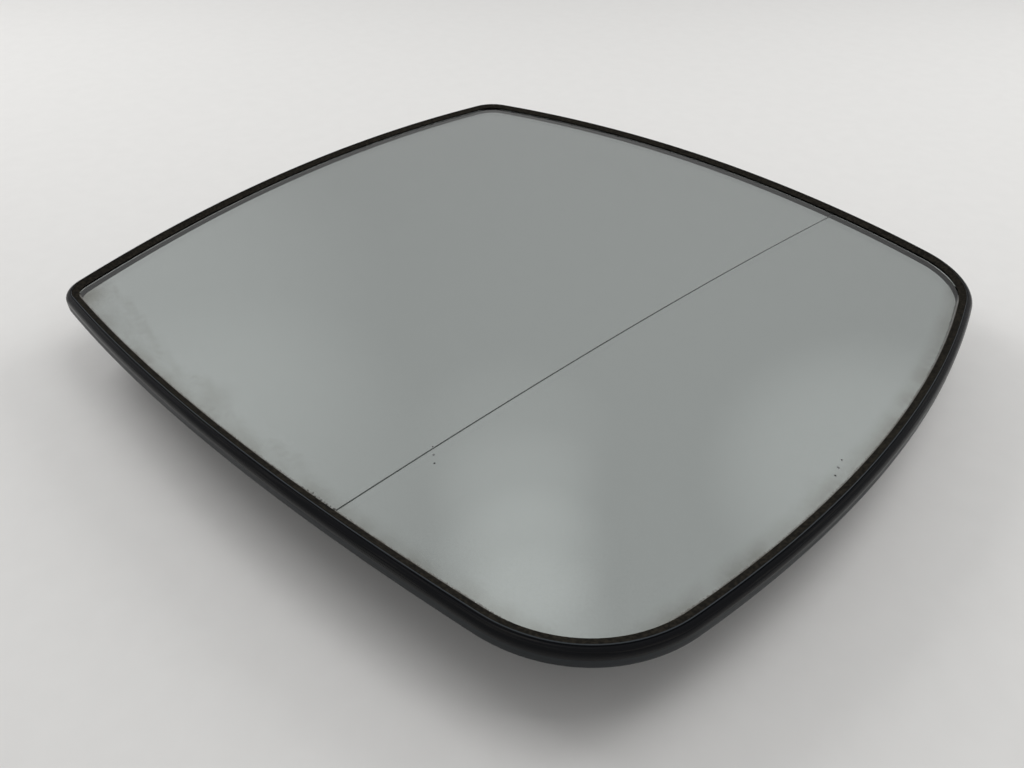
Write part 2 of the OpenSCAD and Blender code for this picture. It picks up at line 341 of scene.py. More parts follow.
def finish(obj: bpy.types.Object, sharp: float = 35.0) -> bpy.types.Object:
    """Sets a piece to metres, smooths it by angle and lets it ride on the part.

    Args:
        obj: A closed piece drawn in millimetres.
        sharp: Angle in degrees above which an edge stays sharp.

    Returns:
        The same object.
    """
    alone(obj)
    obj.scale = (MM, MM, MM)
    bpy.ops.object.transform_apply(location=True, rotation=True, scale=True)
    bpy.ops.object.shade_smooth_by_angle(angle=math.radians(sharp))
    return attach(obj, "root")


# Shared forms


@dataclass(frozen=True)
class GlassCurve:
    """Height of the glass surface: a sphere that bends more and more beyond the dividing line."""

    crown_h: float = 22.0
    radius: float = 1400.0
    outer_radius: float = 450.0
    line_x: float = 35.7
    right_d: float = 92.2

    def height(self, x: float, y: float) -> float:
        """Works out the surface's height above the support face at a place in plan.

        Args:
            x: The place along X in millimetres.
            y: The place along Y.

        Returns:
            The height in millimetres.
        """
        wide = (1 / self.outer_radius - 1 / self.radius) / (6 * (self.right_d - self.line_x))
        sphere = math.sqrt(self.radius**2 - x * x - y * y) - self.radius
        return self.crown_h + sphere - wide * max(0.0, x - self.line_x) ** 3

    def lay(self, obj: bpy.types.Object) -> None:
        """Bends a flat piece, drawn with its heights from the glass surface, onto the curve."""
        for vertex in obj.data.vertices:
            vertex.co.z += self.height(vertex.co.x, vertex.co.y)


@dataclass(frozen=True)
class Arc:
    """One arc of the outline: centre, radius, first angle and sweep in radians."""

    centre: Vector
    radius: float
    start: float
    sweep: float
    steps: int

    def at(self, share: float, inset: float) -> Vector:
        """Returns the point at a share of the arc, moved inwards."""
        angle = self.start + self.sweep * share
        return self.centre + (self.radius - inset) * Vector((math.cos(angle), math.sin(angle)))

    def turned(self, point: Vector) -> float:
        """Returns how far round the centre a point lies after the arc's start, in radians."""
        offset = point - self.centre
        return (math.atan2(offset.y, offset.x) - self.start) % FULL_TURN

    def holds(self, point: Vector) -> bool:
        """Returns True if the point lies in the arc's sector."""
        return self.turned(point) <= self.sweep + 1e-6 or self.turned(point) >= FULL_TURN - 1e-6


@dataclass(frozen=True)
class MirrorOutline:
    """Outside of the rim in plan: four crowned edges and the rounds that join them.

    An edge is its distance from the centre, the turn of its normal and its crown radius. The
    edges are the outer, top, inner and bottom one, and each round follows its edge.
    """

    edges: tuple[tuple[float, float, float], ...] = (
        (92.2, 5.5, 256.0), (85.4, 0.5, 352.0), (87.7, 10.5, 400.0), (83.9, 5.0, 500.0))
    rounds: tuple[float, ...] = (23.5, 8.0, 8.0, 29.5)
    edge_steps: int = 40
    round_steps: int = 24

    def edge_centre(self, i: int) -> Vector:
        """Finds the centre of an edge's circle.

        Args:
            i: Number of the edge, from 0 for the outer one.

        Returns:
            The centre in plan.
        """
        distance, tilt, radius = self.edges[i % 4]
        angle = math.radians(90 * (i % 4) + tilt)
        return Vector((math.cos(angle), math.sin(angle))) * (distance - radius)

    def round_centre(self, i: int) -> Vector:
        """Returns the centre of the round after an edge, where both shrunk circles meet.

        Args:
            i: Number of the edge, from 0 for the outer one.

        Returns:
            The centre in plan.
        """
        a, b = self.edge_centre(i), self.edge_centre(i + 1)
        ra, rb = (self.edges[k % 4][2] - self.rounds[i % 4] for k in (i, i + 1))
        span = b - a
        d = span.length
        u = span / d
        x = (ra * ra - rb * rb + d * d) / (2 * d)
        side = Vector((-u.y, u.x)) * math.sqrt(ra * ra - x * x)
        angle = math.radians(90 * i + 45)
        corner = Vector((math.cos(angle), math.sin(angle)))
        return max((a + u * x + side, a + u * x - side), key=lambda place: place.dot(corner))

    @cached_property
    def arcs(self) -> list[Arc]:
        """Works out the eight arcs of the outline, each tangent to the next.

        Returns:
            The arcs in order.
        """
        result = []
        for i in range(4):
            centre, before, after = self.edge_centre(i), self.round_centre((i + 3) % 4), self.round_centre(i)
            result.append(self.between(centre, self.edges[i][2], before - centre, after - centre,
                                       self.edge_steps))
            result.append(self.between(after, self.rounds[i], after - centre,
                                       after - self.edge_centre(i + 1), self.round_steps))
        return result

    @staticmethod
    def between(centre: Vector, radius: float, first: Vector, last: Vector, steps: int) -> Arc:
        """Makes the arc that turns from one direction to another.

        Args:
            centre: Centre of the arc.
            radius: Its radius.
            first: Direction to its start.
            last: Direction to its end.
            steps: Steps that it is drawn in.

        Returns:
            The arc, which turns counter-clockwise.
        """
        start = math.atan2(first.y, first.x)
        sweep = (math.atan2(last.y, last.x) - start) % FULL_TURN
        return Arc(centre, radius, start, sweep, steps)

    def nearest(self, place: Vector) -> Arc:
        """Finds the arc that a place near the rim belongs to.

        Args:
            place: The place.

        Returns:
            The arc.
        """
        point = place.xy
        found = [a for a in self.arcs if a.holds(point)]
        return min(found, key=lambda a: abs((point - a.centre).length - a.radius))

    def unrolled(self, place: Vector) -> Vector:
        """Bends the outline to a circle of the same length, so that the way along it has no seam.

        Args:
            place: A place near the rim.

        Returns:
            Its place on that circle, in millimetres.
        """
        lengths = [a.sweep * a.radius for a in self.arcs]
        arc = self.nearest(place)
        turned = arc.turned(place.xy)
        here = turned * arc.radius if turned < arc.sweep + 1e-5 else 0.0
        around = (sum(lengths[:self.arcs.index(arc)]) + here) / sum(lengths) * FULL_TURN
        return Vector((math.cos(around), math.sin(around), 0)) * sum(lengths) / FULL_TURN

    def near(self, place: Vector, inset: float) -> bool:
        """Returns True if a place lies on the outline at an inset."""
        return any(a.holds(place.xy) and abs((place.xy - a.centre).length - a.radius + inset) < 0.01
                   for a in self.arcs)

    def draw(self, name: str, inset: float, height: float) -> bpy.types.Object:
        """Draws the outline as a closed line, each arc spun from the end of the one before.

        Args:
            name: Name of the object.
            inset: Distance inwards from the outside of the rim.
            height: Height of the line.

        Returns:
            An object with the line's edges, all selected when it is opened.
        """
        bpy.ops.mesh.primitive_plane_add(size=1)
        obj = bpy.context.object
        obj.name = name
        first = self.arcs[0].at(0, inset)
        with editing(obj):
            bpy.ops.mesh.merge(type="CENTER")
            bpy.ops.transform.translate(value=(first.x, first.y, height))
            for arc in self.arcs:
                bpy.ops.mesh.spin(steps=arc.steps, angle=arc.sweep,
                                  center=(arc.centre.x, arc.centre.y, 0), axis=(0, 0, -1))
            bpy.ops.mesh.select_all(action="SELECT")
            bpy.ops.mesh.remove_doubles(threshold=2 * MERGE)
        return obj

    def step(self, obj: bpy.types.Object, shift: float, rise: float) -> None:
        """Extrudes the selected ring of edges, up and inwards.

        Args:
            obj: The open object.
            shift: Way inwards in millimetres.
            rise: Way up.
        """
        push(rise)
        bm = bmesh.from_edit_mesh(obj.data)
        for vertex in bm.verts:
            if vertex.select:
                way = (vertex.co.xy - self.nearest(vertex.co).centre).normalized()
                vertex.co.x -= way.x * shift
                vertex.co.y -= way.y * shift
        bmesh.update_edit_mesh(obj.data)


def close_to_centre(shares: tuple[float, ...]) -> None:
    """Fills the selected ring with smaller rings towards the centre and a last point there.

    Args:
        shares: Size of each ring as a share of the first, falling.
    """
    last = 1.0
    for share in shares:
        push(0)
        scale = share / last
        bpy.ops.transform.resize(value=(scale, scale, 1), center_override=(0, 0, 0))
        last = share
    push(0)
    bpy.ops.mesh.merge(type="CENTER")


# Materials


def linear(code: str) -> tuple[float, float, float, float]:
    """Turns an sRGB hex colour into the linear values that shaders take.

    Args:
        code: Six hex digits.

    Returns:
        Red, green, blue and an alpha of 1.
    """
    parts = [int(code[i:i + 2], 16) / 255 for i in (0, 2, 4)]
    red, green, blue = (c / 12.92 if c <= 0.04045 else ((c + 0.055) / 1.055) ** 2.4 for c in parts)
    return red, green, blue, 1.0


def add(tree: bpy.types.NodeTree, kind: str, inputs: dict[int | str, object] | None = None,
        **settings: object) -> bpy.types.Node:
    """Adds a node with its settings and its inputs.

    Args:
        tree: The node tree.
        kind: The node's type, without its prefix.
        inputs: By input, a constant, a socket, or a node whose first output feeds it.
        **settings: The node's own properties.

    Returns:
        The new node.
    """
    node = tree.nodes.new("ShaderNode" + kind)
    for name, value in settings.items():
        setattr(node, name, value)
    for key, value in (inputs or {}).items():
        source = value.outputs[0] if isinstance(value, bpy.types.Node) else value
        if isinstance(source, bpy.types.NodeSocket):
            tree.links.new(source, node.inputs[key])
        else:
            node.inputs[key].default_value = source
    return node


def blank(name: str) -> tuple[bpy.types.Material, bpy.types.NodeTree]:
    """Starts a material with an empty tree.

    Args:
        name: What the real surface is.

    Returns:
        The material and its tree.
    """
    material = bpy.data.materials.new(name)
    material.use_nodes = True
    material.node_tree.nodes.clear()
    return material, material.node_tree


def place_mm(tree: bpy.types.NodeTree) -> bpy.types.Node:
    """Adds the place on the object in millimetres, so that scales are one over a real size.

    Args:
        tree: The node tree.

    Returns:
        The node that gives it.
    """
    where = add(tree, "TexCoord").outputs["Object"]
    return add(tree, "VectorMath", {0: where, "Scale": 1 / MM}, operation="SCALE")


@dataclass(frozen=True)
class Spot:
    """A round mark on the glass: place and radius in millimetres, softness and strength."""

    x: float
    y: float
    radius: float
    soft: float
    strength: float


@dataclass(frozen=True)
class ClearGlass:
    """Float glass, bent by heat: clear and faintly green, dirty along its lower and outer rim.

    Water has dried there and left a thin warm film with a wavy margin. Brown dust sits against
    the lip, and a few black specks lie near it. Next to the lip, dirt film and painted shade of
    the lip darken the glass.
    """

    outline: MirrorOutline
    tint: str = "f1f5f4"
    film: str = "857a66"
    dust: str = "332c22"
    speck: str = "14120e"
    # Edges of the outline along which dirt has gathered and painted shade of the lip darkens the glass: the
    # outer and the bottom one
    dirty_and_shaded_edges: tuple[int, int] = (0, 3)
    lip: float = 3.0
    specks: tuple[Spot, ...] = (
        Spot(35.4, -56.0, 0.22, 0.4, 0.95), Spot(37.1, -57.2, 0.18, 0.4, 0.9),
        Spot(86.5, -3.6, 0.22, 0.4, 0.95), Spot(87.2, -5.8, 0.2, 0.4, 0.9),
        Spot(29.8, -77.6, 0.2, 0.4, 0.9), Spot(35.3, -77.0, 0.3, 0.5, 0.8),
        Spot(19.4, -79.3, 0.22, 0.4, 0.9), Spot(37.6, -77.0, 0.2, 0.4, 0.8),
        Spot(53.1, -74.7, 0.2, 0.4, 0.9), Spot(56.7, -73.9, 0.16, 0.4, 0.8),
        Spot(30.7, -77.8, 0.18, 0.4, 0.9), Spot(31.4, -77.4, 0.14, 0.4, 0.8),
        Spot(32.1, -77.5, 0.18, 0.4, 0.9), Spot(32.9, -77.3, 0.13, 0.4, 0.8),
        Spot(33.6, -77.4, 0.18, 0.4, 0.9), Spot(34.4, -77.1, 0.14, 0.4, 0.8),
        Spot(28.6, -77.9, 0.15, 0.4, 0.8), Spot(27.4, -78.1, 0.17, 0.4, 0.8))
    # Soft smudges by the rim: dirt, and painted shade where the lip stands over the glass
    smudges_and_shade: tuple[Spot, ...] = (
        Spot(-6.0, -78.5, 3.4, 0.9, 0.22), Spot(84.5, 45.0, 2.2, 0.9, 0.3),
        Spot(89.0, -12.0, 3.0, 0.9, 0.14), Spot(-62.5, -81.5, 4.6, 0.9, 0.6))

    @staticmethod
    def spotted(tree: bpy.types.NodeTree, flat: bpy.types.Node, spots: tuple[Spot, ...]) -> bpy.types.Node:
        """Adds a mask of round marks.

        Args:
            tree: The node tree.
            flat: The place in plan.
            spots: The marks.

        Returns:
            The node that gives the mask.
        """
        mask = None
        for spot in spots:
            away = add(tree, "VectorMath", {0: flat, 1: (spot.x, spot.y, 0)}, operation="DISTANCE")
            mark = add(tree, "MapRange", {
                "Value": away.outputs["Value"], "From Min": spot.radius * (1 - spot.soft),
                "From Max": spot.radius * (1 + spot.soft), "To Min": spot.strength, "To Max": 0.0},
                interpolation_type="SMOOTHSTEP")
            mask = mark if mask is None else add(tree, "Math", {0: mask, 1: mark}, operation="MAXIMUM")
        return mask

    def rim_distance(self, tree: bpy.types.NodeTree, flat: bpy.types.Node, edge: int) -> bpy.types.Node:
        """Adds the distance inwards from one edge's outside.

        Args:
            tree: The node tree.
            flat: The place in plan.
            edge: Number of the edge.

        Returns:
            The node that gives it in millimetres.
        """
        centre, radius = self.outline.edge_centre(edge), self.outline.edges[edge][2]
        away = add(tree, "VectorMath", {0: flat, 1: (centre.x, centre.y, 0)}, operation="DISTANCE")
        return add(tree, "Math", {0: radius, 1: away.outputs["Value"]}, operation="SUBTRACT")

    @staticmethod
    def dried_film(tree: bpy.types.NodeTree, flat: bpy.types.Node, bottom: bpy.types.Node) -> bpy.types.Node:
        """Adds the film that dried water left along the bottom rim.

        Args:
            tree: The node tree.
            flat: The place in plan.
            bottom: The distance from the bottom edge.

        Returns:
            The node that gives its strength.
        """
        x = add(tree, "SeparateXYZ", {0: flat})
        # The film is widest at the inner end, and waves about 9 mm long shape its margin
        wave = add(tree, "TexNoise", {"Vector": flat, "Scale": 1 / 9.0, "Detail": 2.0})
        width = add(tree, "MapRange", {
            "Value": x, "From Min": -60.0, "From Max": 36.0, "To Min": 11.5, "To Max": 6.5})
        bulge = add(tree, "MapRange", {
            "Value": wave, "From Min": 0.3, "From Max": 0.7, "To Min": -2.0, "To Max": 2.0})
        reach = add(tree, "Math", {0: width, 1: bulge}, operation="ADD")
        depth = add(tree, "Math", {0: reach, 1: bottom}, operation="SUBTRACT")
        inside = add(tree, "MapRange", {"Value": depth, "From Min": 0.0, "From Max": 2.0})
        within = add(tree, "MapRange", {"Value": depth, "From Min": 0.8, "From Max": 3.0})
        # Blotches about 3 mm across inside the film, and a darker margin where it dried last
        blotch = add(tree, "TexNoise", {"Vector": flat, "Scale": 1 / 3.0, "Detail": 3.0})
        even = add(tree, "MapRange", {
            "Value": blotch, "From Min": 0.35, "From Max": 0.65, "To Min": 0.03, "To Max": 0.14})
        veil = add(tree, "Math", {0: inside, 1: even}, operation="MULTIPLY")
        margin = add(tree, "Math", {0: inside, 1: within}, operation="SUBTRACT")
        broken = add(tree, "MapRange", {
            "Value": blotch, "From Min": 0.4, "From Max": 0.6, "To Min": 0.02, "To Max": 0.14})
        lined = add(tree, "Math", {0: margin, 1: broken}, operation="MULTIPLY")
        both = add(tree, "Math", {0: veil, 1: lined}, operation="ADD")
        ends = add(tree, "MapRange", {
            "Value": x, "From Min": 20.0, "From Max": 46.0, "To Min": 1.0, "To Max": 0.25})
        return add(tree, "Math", {0: both, 1: ends}, operation="MULTIPLY")

    def material(self) -> bpy.types.Material:
        """Builds the node tree of the finish.

        Returns:
            The material of the glass's front.
        """
        material, tree = blank("float_glass_clear")
        flat = add(tree, "VectorMath", {0: place_mm(tree), 1: (1, 1, 0)}, operation="MULTIPLY")
        outer, bottom = (self.rim_distance(tree, flat, edge) for edge in self.dirty_and_shaded_edges)
        rim = add(tree, "Math", {0: outer, 1: bottom}, operation="MINIMUM")
        # Grime and painted shade of the lip thicken over the last 4.5 mm before the lip, in patches about 5
        # mm long
        near = add(tree, "MapRange", {
            "Value": rim, "From Min": self.lip, "From Max": self.lip + 4.5, "To Min": 0.46, "To Max": 0.0},
            interpolation_type="SMOOTHSTEP")
        patches = add(tree, "TexNoise", {"Vector": flat, "Scale": 1 / 5.0, "Detail": 4.0})
        grime_and_shade_patches = add(tree, "MapRange", {"Value": patches, "From Min": 0.35, "From Max": 0.65, "To Min": 0.25})
        film = add(tree, "Math", {0: near, 1: grime_and_shade_patches}, operation="MULTIPLY")
        for layer in (self.dried_film(tree, flat, bottom), self.spotted(tree, flat, self.smudges_and_shade)):
            film = add(tree, "Math", {0: film, 1: layer}, operation="MAXIMUM")
        # Dust all over the glass, in grains of about half a millimetre
        grains = add(tree, "TexNoise", {"Vector": flat, "Scale": 1 / 0.5, "Detail": 2.0})
        haze = add(tree, "MapRange", {
            "Value": grains, "From Min": 0.4, "From Max": 0.75, "To Min": 0.0, "To Max": 0.06})
        film = add(tree, "Math", {0: film, 1: haze}, operation="ADD", use_clamp=True)
        # Opaque marks: dust and painted shade in a dark strip along the lip, as grains of 0.3 mm, and the
        # specks
        crumbs = add(tree, "TexNoise", {"Vector": flat, "Scale": 1 / 0.3, "Detail": 2.0})
        reach = add(tree, "MapRange", {
            "Value": crumbs, "From Min": 0.3, "From Max": 0.7,
            "To Min": self.lip + 0.2, "To Max": self.lip + 0.6})
        under = add(tree, "Math", {0: reach, 1: rim}, operation="SUBTRACT")
        lip_dust_and_shade = add(tree, "MapRange", {
            "Value": under, "From Min": 0.0, "From Max": 0.15, "To Min": 0.0, "To Max": 0.8})
        black = self.spotted(tree, flat, self.specks)
        solid = add(tree, "Math", {0: lip_dust_and_shade, 1: black}, operation="MAXIMUM")
        seen = add(tree, "Mix", {0: film, 6: linear(self.tint), 7: linear(self.film)}, data_type="RGBA")
        seen = add(tree, "Mix", {0: lip_dust_and_shade, 6: seen.outputs[2], 7: linear(self.dust)}, data_type="RGBA")
        seen = add(tree, "Mix", {0: black, 6: seen.outputs[2], 7: linear(self.speck)}, data_type="RGBA")
        clear = add(tree, "Math", {0: 1.0, 1: solid}, operation="SUBTRACT")
        shader = add(tree, "BsdfPrincipled", {
            "Base Color": seen.outputs[2], "Transmission Weight": clear, "Roughness": 0.0, "IOR": 1.52})
        add(tree, "OutputMaterial", {"Surface": shader})
        return material


@dataclass(frozen=True)
class MirrorCoating:
    """Chromium, sputtered on the back of the glass: a dark, slightly green, even mirror."""

    colour: str = "d1d4d2"

    def material(self) -> bpy.types.Material:
        """Builds the node tree of the finish.

        Returns:
            The material of the glass's back, seen through the glass.
        """
        material, tree = blank("chromium_sputtered")
        shader = add(tree, "BsdfPrincipled", {
            "Base Color": linear(self.colour), "Metallic": 1.0, "Roughness": 0.0})
        add(tree, "OutputMaterial", {"Surface": shader})
        return material


@dataclass(frozen=True)
class ShadedGlassEdge:
    """The glass's edge, ground: nearly black as painted shade of its groove, so the rim's mirror image stays
    dark.
    """

    colour: str = "1c1d1b"

    def material(self) -> bpy.types.Material:
        """Builds the node tree of the finish.

        Returns:
            The material of the glass's edge.
        """
        material, tree = blank("float_glass_edge_shaded")
        # Nearly black and dull: painted shade of the groove that holds the edge
        shader = add(tree, "BsdfPrincipled", {
            "Base Color": linear(self.colour), "Roughness": 0.8, "Specular IOR Level": 0.1})
        add(tree, "OutputMaterial", {"Surface": shader})
        return material


@dataclass(frozen=True)
class EtchedLine:
    """The gap etched into the coating, with the dark backing behind it: a fine matte grey line."""

    dark: str = "727774"
    light: str = "898e8b"

    def material(self) -> bpy.types.Material:
        """Builds the node tree of the finish.

        Returns:
            The material of the dividing line.
        """
        material, tree = blank("coating_etched")
        # Ragged edges of the etched gap, as marks of 0.4 mm
        grain = add(tree, "TexNoise", {"Vector": place_mm(tree), "Scale": 1 / 0.4})
        share = add(tree, "MapRange", {"Value": grain, "From Min": 0.3, "From Max": 0.7})
        colour = add(tree, "Mix", {0: share, 6: linear(self.dark), 7: linear(self.light)}, data_type="RGBA")
        shader = add(tree, "BsdfPrincipled", {
            "Base Color": colour.outputs[2], "Roughness": 0.7})
        add(tree, "OutputMaterial", {"Surface": shader})
        return material


@dataclass(frozen=True)
class ZoneLook:
    """Finish of the plastic in one zone: colour, roughness and depth of the grain in millimetres."""

    zone: Zone
    colour: str
    roughness: float
    grain: float


@dataclass(frozen=True)
class MouldedPlastic:
    """Black ABS, injection moulded and weathered.

    The inner foot of the ridge is dull; its top is a lighter grey, a painted highlight line; the
    shoulder still has its polish and is painted near black as painted shade; and the back has
    the fine spark-eroded grain of its mould.
    """

    looks: tuple[ZoneLook, ...] = (
        ZoneLook(Zone.SLOPE, "211e19", 0.6, 0.008),
        # The ridge's lighter grey is a painted highlight line
        ZoneLook(Zone.RIDGE, "464b4f", 0.4, 0.004),
        # The shoulder's near black is painted shade
        ZoneLook(Zone.SHOULDER, "0a0b0e", 0.26, 0.002),
        ZoneLook(Zone.WALL, "212528", 0.42, 0.008),
        ZoneLook(Zone.BACK, "17181b", 0.5, 0.015))
    dust: str = "55524b"
    wiping: float = 0.35
    shine: float = 0.14

    def material(self) -> bpy.types.Material:
        """Builds the node tree of the finish.

        Returns:
            The carrier's material.
        """
        material, tree = blank("abs_black_moulded")
        place = place_mm(tree)
        zone = add(tree, "Attribute", attribute_name="zone").outputs["Fac"]
        rim = add(tree, "Attribute", attribute_name="rim_place").outputs["Vector"]
        first = self.looks[0]
        colour, rough, deep = linear(first.colour), first.roughness, first.grain
        # Each finish gives way to the next over half a step of the attribute
        for look in self.looks[1:]:
            reached = add(tree, "MapRange", {
                "Value": zone, "From Min": look.zone.value - 0.7, "From Max": look.zone.value - 0.2})
            mixed = add(tree, "Mix", {0: reached, 6: colour, 7: linear(look.colour)}, data_type="RGBA")
            colour = mixed.outputs[2]
            rough = add(tree, "Mix", {0: reached, 2: rough, 3: look.roughness})
            deep = add(tree, "Mix", {0: reached, 2: deep, 3: look.grain})
        # Wiping has left streaks along the rim, 20 mm long and about 0.3 mm wide
        track = add(tree, "VectorMath", {0: rim, 1: (1 / 20.0, 1 / 20.0, 1 / 0.3)}, operation="MULTIPLY")
        streaks = add(tree, "TexNoise", {"Vector": track, "Scale": 1.0, "Detail": 3.0})
        on_rim = add(tree, "MapRange", {
            "Value": zone, "From Min": Zone.BACK.value - 0.6, "From Max": Zone.BACK.value - 0.4,
            "To Min": self.wiping, "To Max": 0.0})
        wiped = add(tree, "MapRange", {"Value": streaks, "From Min": 0.55, "From Max": 0.8, "To Max": on_rim})
        grain = add(tree, "TexNoise", {"Vector": place, "Scale": 1 / 0.35, "Detail": 2.0})
        dusty = add(tree, "Math", {0: wiped, 1: grain}, operation="MULTIPLY")
        colour = add(tree, "Mix", {0: dusty, 6: colour, 7: linear(self.dust)}, data_type="RGBA")
        dull = add(tree, "Math", {0: rough, 1: wiped}, operation="ADD")
        height = add(tree, "Math", {0: grain, 1: deep}, operation="MULTIPLY")
        normal = add(tree, "Bump", {"Height": height, "Distance": MM, "Strength": 1.0})
        shader = add(tree, "BsdfPrincipled", {
            "Base Color": colour.outputs[2], "Roughness": dull, "Normal": normal,
            "Specular IOR Level": self.shine})
        add(tree, "OutputMaterial", {"Surface": shader})
        return material


@dataclass(frozen=True)
class DustyPlastic:
    """The same ABS where road dust has dulled it, on the slope to the glass: warm black, no shine."""

    plastic: str = "1b1a18"
    dust: str = "2c2924"

    def material(self) -> bpy.types.Material:
        """Builds the node tree of the finish.

        Returns:
            The material of the slope and of the groove that holds the glass.
        """
        material, tree = blank("abs_black_dusty")
        # Dust in clots of about 0.6 mm
        clots = add(tree, "TexNoise", {"Vector": place_mm(tree), "Scale": 1 / 0.6, "Detail": 3.0})
        share = add(tree, "MapRange", {"Value": clots, "From Min": 0.4, "From Max": 0.65})
        colour = add(tree, "Mix", {0: share, 6: linear(self.plastic), 7: linear(self.dust)}, data_type="RGBA")
        normal = add(tree, "Bump", {"Height": clots, "Distance": 0.01 * MM, "Strength": 1.0})
        shader = add(tree, "BsdfPrincipled", {
            "Base Color": colour.outputs[2], "Roughness": 0.9, "Specular IOR Level": 0.0, "Normal": normal})
        add(tree, "OutputMaterial", {"Surface": shader})
        return material


@dataclass(frozen=True)
class HeaterFilm:
    """Polyester film with a printed heating trace: satin, amber film over parallel silver runs."""

    film: str = "b8a684"
    trace: str = "c9c6bd"
    pitch: float = 4.0

    def material(self) -> bpy.types.Material:
        """Builds the node tree of the finish.

        Returns:
            The heating foil's material.
        """
        material, tree = blank("polyester_film_printed")
        # A band texture repeats every 0.314 units at a scale of 1
        runs = add(tree, "TexWave", {"Vector": place_mm(tree), "Scale": 0.314 / self.pitch},
                   wave_type="BANDS", bands_direction="Y")
        share = add(tree, "MapRange", {"Value": runs, "From Min": 0.45, "From Max": 0.55})
        colour = add(tree, "Mix", {0: share, 6: linear(self.film), 7: linear(self.trace)}, data_type="RGBA")
        rough = add(tree, "MapRange", {"Value": share, "To Min": 0.35, "To Max": 0.5})
        normal = add(tree, "Bump", {"Height": share, "Distance": 0.02 * MM, "Strength": 1.0})
        shader = add(tree, "BsdfPrincipled", {
            "Base Color": colour.outputs[2], "Roughness": rough, "Normal": normal})
        add(tree, "OutputMaterial", {"Surface": shader})
        return material


@dataclass(frozen=True)
class FoamSheet:
    """Closed-cell polyethylene foam tape, die cut: matte off-white with fine cells."""

    light: str = "e2e1da"
    cell: str = "c9c8c0"
    cell_size: float = 0.33

    def material(self) -> bpy.types.Material:
        """Builds the node tree of the finish.

        Returns:
            The adhesive sheet's material.
        """
        material, tree = blank("pe_foam_die_cut")
        cells = add(tree, "TexVoronoi", {"Vector": place_mm(tree), "Scale": 1 / self.cell_size})
        share = add(tree, "MapRange", {"Value": cells, "From Min": 0.1, "From Max": 0.6})
        colour = add(tree, "Mix", {0: share, 6: linear(self.light), 7: linear(self.cell)}, data_type="RGBA")
        normal = add(tree, "Bump", {"Height": cells, "Distance": 0.05 * MM, "Strength": 1.0})
        shader = add(tree, "BsdfPrincipled", {
            "Base Color": colour.outputs[2], "Roughness": 0.9, "Normal": normal})
        add(tree, "OutputMaterial", {"Surface": shader})
        return material


@dataclass(frozen=True)
class DrawnSteel:
    """Spring steel, drawn to wire and oiled: dark grey metal with marks along it."""

    light: str = "a3a6a8"
    dark: str = "6f7275"

    def material(self) -> bpy.types.Material:
        """Builds the node tree of the finish.

        Returns:
            The retaining ring's material.
        """
        material, tree = blank("spring_steel_drawn")
        # Drawing marks about 0.1 mm wide, drawn at 0.3 mm so that they show
        marks = add(tree, "TexNoise", {"Vector": place_mm(tree), "Scale": 1 / 0.3, "Detail": 4.0})
        share = add(tree, "MapRange", {"Value": marks, "From Min": 0.35, "From Max": 0.65})
        colour = add(tree, "Mix", {0: share, 6: linear(self.dark), 7: linear(self.light)}, data_type="RGBA")
        rough = add(tree, "MapRange", {"Value": share, "To Min": 0.28, "To Max": 0.45})
        shader = add(tree, "BsdfPrincipled", {
            "Base Color": colour.outputs[2], "Roughness": rough, "Metallic": 1.0})
        add(tree, "OutputMaterial", {"Surface": shader})
        return material


@dataclass(frozen=True)
class TinnedBrass:
    """Brass strip, stamped and tinned: pale warm metal, duller where the tin is thin."""

    tin: str = "cfccc2"
    brass: str = "b8a06a"

    def material(self) -> bpy.types.Material:
        """Builds the node tree of the finish.

        Returns:
            The terminals' material.
        """
        material, tree = blank("brass_tinned")
        # Thin places of the tin are about 2 mm across
        patches = add(tree, "TexNoise", {"Vector": place_mm(tree), "Scale": 1 / 1.8, "Detail": 4.0})
        thin = add(tree, "MapRange", {"Value": patches, "From Min": 0.52, "From Max": 0.72})
        colour = add(tree, "Mix", {0: thin, 6: linear(self.tin), 7: linear(self.brass)}, data_type="RGBA")
        rough = add(tree, "MapRange", {"Value": thin, "To Min": 0.28, "To Max": 0.42})
        shader = add(tree, "BsdfPrincipled", {
            "Base Color": colour.outputs[2], "Roughness": rough, "Metallic": 1.0})
        add(tree, "OutputMaterial", {"Surface": shader})
        return material


@dataclass(frozen=True)
class PaintedBoard:
    """A painted table top: pale, warm white, with the faintest blotches."""

    light: str = "e3e2e0"
    dark: str = "e1e0de"

    def material(self) -> bpy.types.Material:
        """Builds the node tree of the finish.

        Returns:
            The floor's material.
        """
        material, tree = blank("board_painted")
        # Blotches of about 6 mm from the roller
        marks = add(tree, "TexNoise", {"Vector": place_mm(tree), "Scale": 1 / 6.0, "Detail": 5.0})
        share = add(tree, "MapRange", {"Value": marks, "From Min": 0.3, "From Max": 0.7})
        colour = add(tree, "Mix", {0: share, 6: linear(self.dark), 7: linear(self.light)}, data_type="RGBA")
        shader = add(tree, "BsdfPrincipled", {
            "Base Color": colour.outputs[2], "Roughness": 0.8})
        add(tree, "OutputMaterial", {"Surface": shader})
        return material


# Pieces


